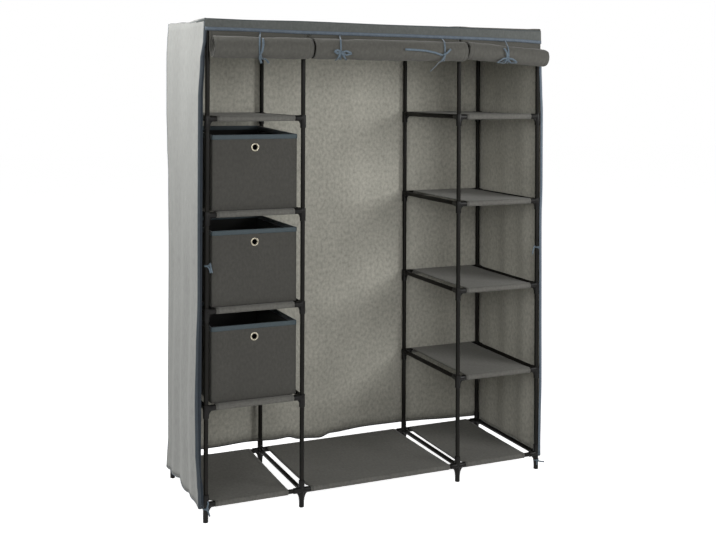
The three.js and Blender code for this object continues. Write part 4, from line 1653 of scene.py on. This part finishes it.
    def facing(self, side: Side, edge: Sequence[Vector], behind: Sequence[Vector]) -> None:
        """Fold the facing from the front edge of a side to the post beside it; its dark finish is the slate
        tape painted darker as shade.

        Args:
            side: Which side.
            edge: The front edge of the side, from foot to top.
            behind: A line of the side a little behind that edge.
        """
        low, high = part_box(side.cover)
        grid = []
        for index, (point, back) in enumerate(zip(edge, behind)):
            level = low.z + (high.z - low.z) * index / (len(edge) - 1)
            inner = between(self.left_inner, level) if side is Side.LEFT else low.x - 0.4 * MM
            end = Vector((inner, self.edge(side, level)[1] - 0.1 * MM, point.z))
            bulge = 0.8 * MM * math.sin(index * 0.55)
            row = [back + Vector((-side.value * 0.7 * MM, 1.0 * MM, 0))]
            for share in (0.0, 0.12, 0.3, 0.5, 0.7, 0.88, 1.0):
                spot = point.lerp(end, share)
                out = ease((abs(spot.x - point.x) - 4 * MM) / (6 * MM))
                spot.y -= math.sin(math.pi * share) * (0.6 * MM + abs(bulge)) * out
                row.append(spot)
            grid.append(row)
        node = side.cover
        piece = sheet_piece(f"{node}_facing", grid, self.cloth * 0.8, flip=side is Side.RIGHT, outward=0.4)
        dress(piece, "root", self.finishes.strip, self.finishes.strip, nodes=[node])

    def back(self) -> None:
        """Hang the back of the cover."""
        low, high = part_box("cover_back")
        rows, columns = 40, 120
        grid = []
        for up in spread(0, 1, rows):
            row = []
            for across in spread(0, 1, columns):
                x = low.x + (high.x - low.x) * across
                foot = between(self.back_hem, x)
                rise = self.left_rise[-1][1] * (1 - ease((x - low.x) / self.blended))
                z = foot + (high.z + rise - foot) * up
                x += between(self.left_back, z) * max(1 - across * 8, 0.0)
                out = self.back_fold * fold(across, self.back_waves) * (1 - up)
                soft = self.unevenness * ripple(x, z, 8, 0.3) * fold(across, 1.0) * fold(up, 1.0)
                row.append(Vector((x, low.y + 1.2 * MM + out + soft, z)))
            grid.append(row)
        sewn = hems(high.x - low.x, high.z - low.z)
        piece = sheet_piece("cover_back_panel", grid, self.cloth, sewn, flip=True)
        dress(piece, "root", self.finishes.cover, self.finishes.inside, nodes=["cover_back"])
        hem = [point + Vector((0, -1.4 * MM, 0.4 * MM)) for point in grid[0]]
        edge = tube_piece("cover_back_hem_binding", hem, self.piping)
        dress(edge, "root", self.finishes.strip)

    def tuck(self, x: float, end: float) -> float:
        """How far the roof's front turns back at a place across, round its right corner."""
        past = (x - end + 1.2 * MM) / self.roof_corner + 1
        return self.roof_corner * (1 - math.sqrt(max(1 - max(past, 0.0) ** 2, 0.0)))

    def roof_columns(self, low: Vector, high: Vector) -> list[tuple[float, float]]:
        """The roof's columns from left to right, as (place across, how far it is turned down there)."""
        drop = self.roof_drop
        bend = high.x - 1.2 * MM - self.roof_corner
        inner = spread(low.x + 1.2 * MM, bend, 108)
        inner += [bend + self.roof_corner * math.sin(t) for t in spread(0, QUARTER, 6)[1:]]
        left = [(low.x + 0.4 * MM, drop), (low.x + 0.6 * MM, drop * 0.5)]
        return left + [(x, 0.0) for x in inner] + [(high.x - 0.6 * MM, drop * 0.5), (high.x - 0.4 * MM, drop)]

    def valance(self, low: Vector, high: Vector, front: float) -> Grid:
        """The valance's rows from its edge up, and the turn into the roof.

        Args:
            low: The lowest corner of the roof.
            high: The highest corner.
            front: Where the valance hangs in depth.

        Returns:
            Rows of points.
        """
        radius = self.roof_radius
        columns = self.roof_columns(low, high)
        waves = []
        for x, _ in columns:
            sway = 1.0 * MM * (1 + math.sin(FULL_TURN * 5 * (x - low.x) / (high.x - low.x)))
            waves.append(sway + 0.5 * MM * (1 + ripple(x, 0, 21, 0.1)))
        grid: Grid = []
        for part in (0.0, 0.25, 0.5, 0.75):
            row = []
            for (x, _), wave in zip(columns, waves):
                edge, top = between(self.valance_edge, x), between(self.roof_front, x)
                y = front - wave * (1 - 0.75 * part) + self.tuck(x, high.x)
                row.append(Vector((x, y, edge + (top - radius - edge) * part)))
            grid.append(row)
        for share in (0.0, 1 / 3, 2 / 3, 1.0):
            row = []
            for (x, turned), wave in zip(columns, waves):
                turn = QUARTER * share
                y = front + radius * (1 - math.cos(turn)) + self.tuck(x, high.x) - wave * 0.25 * (1 - share)
                z = between(self.roof_front, x) - radius + radius * math.sin(turn) - turned * 0.5
                row.append(Vector((x, y, z)))
            grid.append(row)
        return grid

    def deck(self, low: Vector, high: Vector, front: float) -> Grid:
        """The roof's rows from the front rail to the turned edge at its back.

        Args:
            low: The lowest corner of the roof.
            high: The highest corner.
            front: Where the valance hangs in depth.

        Returns:
            Rows of points.
        """
        lay = self.layout
        columns = self.roof_columns(low, high)
        grid: Grid = []
        places = [lay.front - 4 * MM, lay.front, *spread(lay.front, lay.back, 24)[1:-1], lay.back]
        for number, y in enumerate(places):
            row = []
            for x, turned in columns:
                rise = between(self.left_rise, y - front) * (1 - ease((x - low.x) / self.blended))
                behind = max(y, front + self.roof_radius + self.tuck(x, high.x) + (number + 1) * MM)
                from_post = min(abs(x - post) for post in lay.columns)
                hang = max(math.sin(math.pi * (y - lay.front) / (lay.back - lay.front)), 0.0)
                sag = self.roof_sag * hang * ease(from_post / 0.12)
                soft = 0.5 * MM * ripple(x, y, 31, 0.25) * ease(from_post / 0.1) * hang
                near = ease((from_post - 14 * MM) / 0.05) * (1 - ease((y - front) / 0.2))
                low_front = min(high.z - between(self.roof_front, x), 2.4 * MM) * near
                row.append(Vector((x, behind, high.z + rise - low_front - sag - abs(soft) - turned)))
            grid.append(row)
        rise = self.left_rise[-1][1]
        for ahead, down in ((4 * MM, 0.0), (1.2 * MM, 1.2 * MM), (0.0, 5 * MM), (0.0, 11 * MM)):
            row = []
            for x, turned in columns:
                z = high.z - down + rise * (1 - ease((x - low.x) / self.blended)) - turned * 0.4
                row.append(Vector((x, high.y - ahead, z)))
            grid.append(row)
        return grid

    def roof(self) -> None:
        """Lay the roof over the top rails, with its valance in front and short turned-down edges."""
        low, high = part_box("cover_roof")
        front = low.y + 0.6 * MM
        grid = self.valance(low, high, front) + self.deck(low, high, front)

        def seams(along: float, _: float) -> float:
            """How far a point is from the valance's edge, with its rows 11 mm apart."""
            return along * (len(grid) - 1) * self.valance_row

        piece = sheet_piece("cover_roof_cloth", grid, self.cloth, seams, outward=-1.0)
        dress(piece, "root", self.finishes.roof, self.finishes.inside, nodes=["cover_roof"])
        steps = ((0.5, -0.6), (-0.9, -0.4), (-0.9, 5.5), (-0.8, 11.0))
        tape = [[p + Vector((0, ahead * MM, rise * MM)) for p in grid[0][2:-1]] for ahead, rise in steps]
        piece = sheet_piece("cover_roof_valance_tape", tape, self.tape, outward=0.0)
        dress(piece, "root", self.finishes.piping, self.finishes.piping)
        lines = {"front": [p + Vector((0, -0.2 * MM, 0.2 * MM)) for p in grid[6][2:-2]]}
        for side, column in ((Side.LEFT, 1), (Side.RIGHT, -2)):
            lines[side.label] = [row[column] + Vector((0, 0, 0.5 * MM)) for row in grid[7:-2]]
        for name, line in lines.items():
            piped = tube_piece(f"cover_roof_{name}_piping", line, self.piping * 0.7)
            dress(piped, "root", self.finishes.binding)

    def build(self) -> None:
        """Make the cover, its roof first because the rest hangs from it."""
        self.roof()
        for side in Side:
            self.side(side)
        self.back()


# The doors


@dataclass(frozen=True)
class DoorPlan:
    """One rolled door: where its roll lies, how thick it is, how it is creased and how its ribbons are tied.

    The strands are lines of a ribbon's loose ends on the front of the roll, across and up, in millimetres.
    """

    name: str
    radius: float
    droop: float
    ends: tuple[float, float]
    ties: tuple[float, ...]
    crease: Profile
    strands: tuple[Profile, ...]
    seed: int

    @property
    def body(self) -> str:
        """The body that its roll belongs to."""
        return f"door_{self.name}"

    @property
    def roll(self) -> str:
        """The piece of its rolled cloth."""
        return f"{self.body}_rolled_cloth"


@dataclass
class Doors:
    """The front doors, rolled up: for each a real spiral of cloth, the cloth above it and its ribbons."""

    finishes: Finishes
    cloth: float = 0.9 * MM
    pitch: float = 3.1 * MM
    core: float = 8 * MM
    steps_a_turn: int = 30
    cone: float = 12 * MM  # what the innermost layer lies inside the outermost at each end
    slip: float = 1.6 * MM  # how far the layers shift sideways
    roll_sag: float = 0.8 * MM
    pinch: float = 2.4 * MM  # what a ribbon presses in
    lap: float = 1.6 * MM  # the cloth's end on the roll, and the dent beside it
    dent: float = 0.8 * MM
    lap_angle: float = 0.13
    web_length: float = 1.6  # the hanging cloth when its door is down
    web_inset: float = 2 * MM
    ribbon_width: float = 6 * MM
    bow_width: float = 1.25  # a bow's strands are drawn this many times as wide, as they lie folded
    sway: float = 28 * MM
    ribbon_turn: tuple[float, float] = (6.0, 252.0)  # the angles, in degrees, that a ribbon lies on the roll
    behind_valance: Profile = ((-0.2072, 1.6735), (-0.2071, 1.690))
    plans: tuple[DoorPlan, ...] = (
        DoorPlan(
            "left",
            40 * MM, 0.0, (-0.658, -0.297), (0.511,),
            ((0.05, 4.25), (0.45, 4.3), (0.95, 3.4)),
            (
                ((-485, 1657), (-489, 1635), (-493, 1612), (-497, 1598)),
                ((-497, 1600), (-490, 1592), (-472, 1583), (-461, 1571)),
                ((-498, 1598), (-493, 1583), (-488, 1570)),
            ),
            41,
        ),
        DoorPlan(
            "centre",
            40 * MM, 0.0, (-0.295, 0.3175), (0.198, 0.876),
            ((0.0, 3.6), (0.3, 4.2), (0.7, 3.7), (1.0, 4.1)),
            (
                ((-202, 1613), (-214, 1620), (-228, 1617), (-216, 1609), (-202, 1611)),
                ((-202, 1612), (-181, 1617), (-160, 1610), (-180, 1604), (-202, 1611)),
                ((-203, 1611), (-209, 1598), (-214, 1583)),
                ((-201, 1611), (-186, 1599), (-171, 1585)),
                ((204, 1609), (170, 1618), (129, 1624), (88, 1626), (48, 1627)),
                ((205, 1610), (220, 1619), (236, 1631)),
                ((214, 1612), (204, 1590), (183, 1568), (162, 1549)),
            ),
            42,
        ),
        DoorPlan(
            "right",
            36 * MM, 25 * MM, (0.3195, 0.679), (0.545,),
            ((0.0, 3.5), (0.5, 4.2), (1.0, 3.9)),
            (
                ((472, 1640), (478, 1622), (484, 1603)),
                ((485, 1603), (466, 1602), (446, 1592), (466, 1589), (484, 1598)),
                ((485, 1603), (508, 1600), (531, 1590), (508, 1587), (486, 1598)),
                ((484, 1600), (478, 1590), (470, 1580)),
            ),
            43,
        ),
    )

    def axis(self, plan: DoorPlan) -> tuple[Vector, Vector]:
        """The middle line of a roll, from its left end to its right end."""
        low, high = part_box(f"{plan.body}_roll")
        y = (low.y + high.y) / 2
        level = (low.z + high.z) / 2
        left, right = plan.ends
        return Vector((left, y, level + plan.droop / 2)), Vector((right, y, level - plan.droop / 2))

    def swell(self, plan: DoorPlan, share: float, turn: float, x: float) -> float:
        """How far the roll's surface stands in or out of round.

        Args:
            plan: Which door.
            share: The share of the way along the roll.
            turn: The angle round the roll, from its back, down and under.
            x: The place across, in metres.

        Returns:
            A distance in metres, the same for every layer there.
        """
        sag = self.roll_sag * math.cos(turn - QUARTER) * math.sin(math.pi * share)
        pinch = sum(math.exp(-(((share - tie) * 12) ** 2)) for tie in plan.ties)
        crease = 1.1 * MM * ripple(x, turn * 0.04, plan.seed, 0.09)
        crease += 0.7 * MM * ripple(x, turn * 0.04, plan.seed + 9, 0.035)
        off = (turn - between(plan.crease, share)) / self.lap_angle
        lap = self.lap * math.exp(-off * off) - self.dent * math.exp(-((off + 2) ** 2))
        return sag + crease + lap - self.pinch * pinch

    @staticmethod
    def hem_step(rim: float) -> float:
        """How much thinner a roll is at a distance from its end: it tapers, with a groove behind the hem."""
        taper = 2.5 * math.exp(-rim / (5 * MM))
        groove = 1.1 * math.exp(-(((rim - 16 * MM) / (2.5 * MM)) ** 2))
        return (taper + groove) * MM

    def roll(self, plan: DoorPlan) -> None:
        """Wind one door up as a spiral of cloth.

        Args:
            plan: Which door.
        """
        first, last = self.axis(plan)
        tilt = (last - first).normalized()
        down = Vector((0, 0, -1)) - tilt * Vector((0, 0, -1)).dot(tilt)
        down.normalize()
        back = Vector((0, 1, 0))
        turns = (plan.radius - self.core) / self.pitch
        steps = int(turns * self.steps_a_turn)
        rims = [place * MM / (last.x - first.x) for place in (0, 2, 5, 9, 12, 14, 16, 18, 20)]
        inner = spread(rims[-1], 1 - rims[-1], 52 if plan.name == "centre" else 32)[1:-1]
        shares = [*rims, *inner, *(1 - rim for rim in reversed(rims))]
        lean = plan.radius * abs(tilt.z)
        grid = []
        for step in range(steps + 1):
            angle = FULL_TURN * turns * step / steps
            radius = plan.radius - self.cloth - self.pitch * angle / FULL_TURN
            slip = self.slip * math.sin(angle * 0.37 + plan.seed)
            inset = 1.5 * MM + lean + self.cone * step / steps
            start, end = first + tilt * (inset + slip), last - tilt * (inset - slip)
            row = []
            for share in shares:
                middle = start.lerp(end, share)
                size = radius + self.swell(plan, share, angle % FULL_TURN, middle.x) * radius / plan.radius
                size -= self.hem_step(min(share, 1 - share) * (last.x - first.x)) * radius / plan.radius
                row.append(middle + (back * math.cos(angle) + down * math.sin(angle)) * size)
            grid.append(row)
        width = (last - first).length
        piece = sheet_piece(plan.roll, grid, self.cloth, hems(width), flip=True)
        length = length_of([row[0] for row in grid])
        nodes = [f"{plan.body}_roll"]
        dress(piece, plan.body, self.finishes.door, self.finishes.door, nodes=nodes)

    def web(self, plan: DoorPlan) -> None:
        """Hang the stretch of a door between its seam and its roll, with its UV map stretched to its length
        when the door is down.

        Args:
            plan: Which door.
        """
        low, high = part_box(f"{plan.body}_web")
        first, last = self.axis(plan)
        count = 60 if plan.name == "centre" else 40
        rows = 60
        foot = min(first.z, last.z) - 1 * MM
        width = last.x - first.x - 2 * self.web_inset
        grid = []
        for up in spread(0, 1, rows):
            row = []
            for across in spread(0, 1, count):
                x = first.x + self.web_inset + width * across
                z = foot + (high.z - foot) * up
                out = 2.2 * MM * (fold(across, 4.0) - 0.5) * math.sin(math.pi * up)
                row.append(Vector((x, (low.y + high.y) / 2 + 0.2 * MM + out * 0.3, z)))
            grid.append(row)
        name = f"{plan.body}_hanging_cloth"
        piece = sheet_piece(name, grid, self.cloth * 0.8, hems(width), outward=0.0)
        stretch = self.web_length / (high.z - low.z)
        for corner in piece.data.uv_layers["UVMap"].data:
            corner.uv = (corner.uv[0], corner.uv[1] * stretch)
        start, end = (0, 0, high.z), (0, 0, min(first.z, last.z))
        dress(piece, None, self.finishes.door, self.finishes.door, nodes=[f"{plan.body}_web"])
        plan.body
        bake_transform(piece)
        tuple(start)
        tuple(end)

    def ribbon(self, plan: DoorPlan, number: int) -> None:
        """Tie a ribbon round a roll, from the seam behind it and back up behind the valance.

        Args:
            plan: Which door.
            number: Which of its ribbons, from 1.
        """
        node = f"{plan.body}_tie_{number}"
        low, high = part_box(node)
        first, last = self.axis(plan)
        x = (low.x + high.x) / 2
        share = (x - first.x) / (last.x - first.x)
        middle = first.lerp(last, share)
        line = []
        rear = high.y - 0.6 * MM
        for z in spread(high.z, middle.z, 8)[:-1]:
            line.append(Vector((x, rear, z)))
        for turn in spread(*map(math.radians, self.ribbon_turn), 26):
            size = plan.radius + self.swell(plan, share, turn, x) + 1.0 * MM
            line.append(Vector((x, middle.y + size * math.cos(turn), middle.z - size * math.sin(turn))))
        top = line[-1]
        behind, above = (Vector((x, y, z)) for y, z in self.behind_valance)
        for part in (0.35, 0.7):
            spot = top.lerp(behind, part)
            spot.z += 1.5 * MM * math.sin(math.pi * part)
            line.append(spot)
        line += [behind, above, Vector((x, -0.2070, high.z))]
        for spot in line:
            spot.x -= self.sway * clamp((rear - spot.y) / 0.08)
        flats = [Vector((1, 0, 0.12 * math.sin(index * 0.3))) for index in range(len(line))]
        piece = ribbon_piece(f"{plan.body}_ribbon_{number}", line, flats, self.ribbon_width, 0.7 * MM)
        length_of(line)
        plan.roll
        dress(piece, plan.body, self.finishes.ribbon, self.finishes.ribbon, nodes=[node])

    def bow(self, plan: DoorPlan) -> None:
        """Lay the loose ends of a roll's ribbons on its front: loops, tails and a knot in each.

        Args:
            plan: Which door.
        """
        first, last = self.axis(plan)
        pieces, length = [], 0.0
        for number, strand in enumerate(plan.strands):
            line, flats = [], []
            for place in spread(0, len(strand) - 1, (len(strand) - 1) * 6):
                index = min(int(place), len(strand) - 2)
                (x, z), (next_x, next_z) = strand[index], strand[index + 1]
                x, z = ((a + (b - a) * (place - index)) * MM for a, b in ((x, next_x), (z, next_z)))
                share = (x - first.x) / (last.x - first.x)
                middle = first.lerp(last, share)
                turn = math.pi - math.asin(clamp((middle.z - z) / plan.radius, -0.95, 0.9))
                loose = math.sin(math.pi * place / (len(strand) - 1)) ** 2
                lift = 2.0 * MM + 0.3 * MM * number + 4 * MM * loose
                size = plan.radius + self.swell(plan, share, turn, x) + lift
                out = Vector((0, math.cos(turn), -math.sin(turn)))
                spot = middle + out * size
                hangs = z < middle.z - 0.85 * plan.radius
                line.append(Vector((x, spot.y, min(spot.z, z) if hangs else spot.z)))
                flats.append(Vector((next_x - strand[index][0], 0, next_z - strand[index][1])).cross(out))
            pieces.append(ribbon_piece("strand", line, flats, self.ribbon_width * self.bow_width, 0.6 * MM))
            length += length_of(line)
        piece = joined(f"{plan.body}_bows", pieces)
        plan.roll
        dress(piece, plan.body, self.finishes.ribbon, self.finishes.ribbon)

    def build(self) -> None:
        """Roll the doors up and tie them."""
        for plan in self.plans:
            self.roll(plan)
            self.web(plan)
            for number in range(1, len(plan.ties) + 1):
                self.ribbon(plan, number)
            self.bow(plan)


@dataclass(frozen=True)
class PostTie:
    """One ribbon knotted round a post: its column, its height and the radius that it goes round.

    Its tails are lines of points in millimetres from the post's axis.
    """

    name: str
    column: int
    level: float
    radius: float
    tails: tuple[Spots, ...]


@dataclass
class PostTies:
    """Short ribbons from the cover's front edges, each knotted round the post or foot beside it."""

    layout: Layout
    finishes: Finishes
    width: float = 5 * MM
    rise: float = 6 * MM
    turns: float = 1.6
    ties: tuple[PostTie, ...] = (
        PostTie(
            "left_middle",
            0, 0.877, 9.2 * MM,
            (
                ((2, -10, 3), (9, -12, 10), (12, -12, -8), (17, -11, -24)),
                ((3, -10, -2), (8, -11, -12), (11, -10, -24)),
            ),
        ),
        PostTie(
            "right_middle",
            3, 0.868, 9.2 * MM,
            (((-5, -8, 0), (-12, -4, 6), (-17, -2, -10), (-19, 0, -28)), ((4, -9, -2), (9, -10, 2))),
        ),
        PostTie(
            "left_foot",
            0, 0.048, 10.6 * MM,
            (
                ((-1, -11, -3), (3, -12, 8), (6, -12, 20), (4, -11, 27)),
                ((4, -10, -4), (8, -11, -14), (12, -10, -26)),
                ((-9, -6, 6), (-15, -8, 12), (-20, -9, 17)),
            ),
        ),
        PostTie(
            "right_foot",
            3, 0.036, 10.6 * MM,
            (
                ((5, -9, -4), (14, -11, -6), (24, -10, -9), (33, -9, -11)),
                ((-2, -11, 2), (-3, -12, -10), (-2, -11, -18)),
            ),
        ),
    )

    @staticmethod
    def through(spots: Sequence[Vector]) -> list[Vector]:
        """A line through some points, in four steps from each to the next."""
        line = []
        for place in spread(0, len(spots) - 1, (len(spots) - 1) * 4):
            index = min(int(place), len(spots) - 2)
            line.append(spots[index].lerp(spots[index + 1], place - index))
        return line

    def build(self) -> None:
        """Tie each ribbon: two turns round the post, and its tails."""
        for tie in self.ties:
            post = Vector((self.layout.columns[tie.column], self.layout.front, tie.level))
            knot = []
            for share in spread(0, 1, 40):
                turn = FULL_TURN * self.turns * share
                round_post = Vector((tie.radius * math.sin(turn), -tie.radius * math.cos(turn), 0))
                knot.append(post + round_post + Vector((0, 0, self.rise * (share - 0.5))))
            lines = [(knot, Vector((0, 0, 1)))]
            for tail in tie.tails:
                spots = [post + Vector(spot) * MM for spot in tail]
                lines.append((self.through(spots), (spots[-1] - spots[0]).cross(Vector((0, -1, 0)))))
            pieces = []
            for line, aim in lines:
                pieces.append(ribbon_piece("strand", line, [aim] * len(line), self.width, 0.6 * MM))
            piece = joined(f"cover_tie_{tie.name}", pieces)
            sum(length_of(line) for line, _ in lines)
            dress(piece, "root", self.finishes.ribbon, self.finishes.ribbon)


# The studio


@dataclass(frozen=True)
class Lamp:
    """A soft rectangular lamp."""

    name: str
    place: tuple[float, float, float]
    aim: tuple[float, float, float]
    size: float
    power: float


@dataclass
class Studio:
    """A white floor, soft lamps and a level camera with a falling front."""

    eye: tuple[float, float, float] = (-1.0061, -3.5606, 1.4821)
    turn: float = -23.773
    roll: float = -0.24
    focal_px: float = 1072.3
    shift_px: tuple[float, float] = (0.0, 180.6)
    width_px: float = 716.0
    sensor: float = 36.0  # in millimetres, like the lens
    sky: float = 0.02
    paper: float = 0.86  # the floor's own brightness, and what it shows to the camera besides
    glow: float = 0.98
    sight: float = 60.0  # how far the camera sees
    floor_size: float = 40.0
    lamps: tuple[Lamp, ...] = (
        Lamp("key", (-2.2, 0.3, 2.9), (-0.6, 0.1, 1.2), 1.0, 19.0),
        Lamp("key_near", (-1.9, 0.2, 2.6), (-0.6, 0.1, 1.6), 0.8, 29.0),
        Lamp("right", (1.7, -1.9, 1.7), (-0.2, 0.2, 1.1), 1.0, 31.0),
        Lamp("front_left", (-0.7, -3.2, 1.7), (-0.1, 0.2, 1.1), 1.2, 26.0),
        Lamp("left_high", (-3.0, -2.4, 2.4), (0.0, 0.0, 1.0), 2.0, 30.0),
    )

    def camera(self, layout: Layout) -> None:
        """Stand the camera where the photograph was taken from."""
        data = bpy.data.cameras.new("camera")
        data.lens = self.sensor * self.focal_px / self.width_px
        data.sensor_width = self.sensor
        data.shift_x = self.shift_px[0] / self.width_px
        data.shift_y = -self.shift_px[1] / self.width_px
        data.clip_end = self.sight
        camera = placed("camera", data)
        camera.location = (layout.columns[0] + self.eye[0], layout.front + self.eye[1], self.eye[2])
        camera.rotation_euler = (QUARTER, math.radians(self.roll), math.radians(self.turn))
        bpy.context.scene.camera = camera

    def light(self) -> None:
        """Hang the lamps, each aimed at the wardrobe."""
        for lamp in self.lamps:
            data = bpy.data.lights.new(lamp.name, "AREA")
            data.shape = "SQUARE"
            data.size = lamp.size
            data.energy = lamp.power
            piece = placed(lamp.name, data)
            piece.location = lamp.place
            piece.rotation_euler = (Vector(lamp.aim) - Vector(lamp.place)).to_track_quat("-Z", "Y").to_euler()

    @staticmethod
    def mirrored_or_seen(tree: Material | bpy.types.World) -> Node:
        """Tells the rays of the camera, of gloss and of clear things from those that light the wardrobe."""
        rays = add(tree, "LightPath")
        most = {"operation": "MAXIMUM"}
        gloss, through = rays.outputs["Is Glossy Ray"], rays.outputs["Is Transmission Ray"]
        eye = add(tree, "Math", most, i0=rays.outputs["Is Camera Ray"], i1=gloss)
        return add(tree, "Math", most, i0=eye, i1=through)

    def surround(self) -> None:
        """A white surround that the camera and reflections see, over a dimmer even light."""
        world = bpy.data.worlds.new("surround")
        bpy.context.scene.world = world
        world.use_nodes = True
        world.node_tree.nodes.clear()
        seen = self.mirrored_or_seen(world)
        level = add(world, "MapRange", span(0.0, 1.0, self.sky, 1.0), Value=seen)
        light = add(world, "Background", {"Color": (1, 1, 1, 1)}, Strength=level)
        add(world, "OutputWorld", Surface=light)

    def floor(self) -> None:
        """Lay a white floor that keeps the wardrobe's shadow."""
        clear()
        bpy.ops.mesh.primitive_plane_add(size=self.floor_size, location=(0, 0, 0))
        floor = settle(bpy.context.object, "studio_floor")
        material = blank("white_paper_floor")
        paper = add(material, "BsdfDiffuse", {"Color": (self.paper, self.paper, self.paper, 1.0)})
        glow = add(material, "Emission", {"Color": (1, 1, 1, 1), "Strength": self.glow})
        none = add(material, "Emission", {"Color": (1, 1, 1, 1), "Strength": 0.0})
        lit = add(material, "MixShader", i0=self.mirrored_or_seen(material), i1=none, i2=glow)
        both = add(material, "AddShader", i0=paper, i1=lit)
        add(material, "OutputMaterial", Surface=both)
        floor.data.materials.append(material)
        floor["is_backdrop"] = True

    def build(self, layout: Layout) -> None:
        """Set up the camera, the lamps, the surround and the floor."""
        bpy.context.scene.view_settings.view_transform = "Standard"
        self.camera(layout)
        self.light()
        self.surround()
        self.floor()


def corners(box: object) -> list[list[float]]:
    """A box as two plain lists of numbers, its lowest and its highest corner."""
    low, high = box
    return [[float(value) for value in low], [float(value) for value in high]]


def main() -> None:
    """Build the wardrobe and its studio."""
    logging.basicConfig(level=logging.INFO, format="%(name)s: %(message)s")
    layout = Layout.read()
    Studio().build(layout)
    finishes = Finishes()
    Connectors(layout, finishes).build()
    Tubes(layout, finishes).build()
    Shelves(layout, finishes).build()
    Drawers(finishes).build()
    Cover(layout, finishes).build()
    Doors(finishes).build()
    PostTies(layout, finishes).build()
    clear()
    {"cad": corners(CAD_BOX), "visual": corners(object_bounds())}


if __name__ == "__main__":
    main()
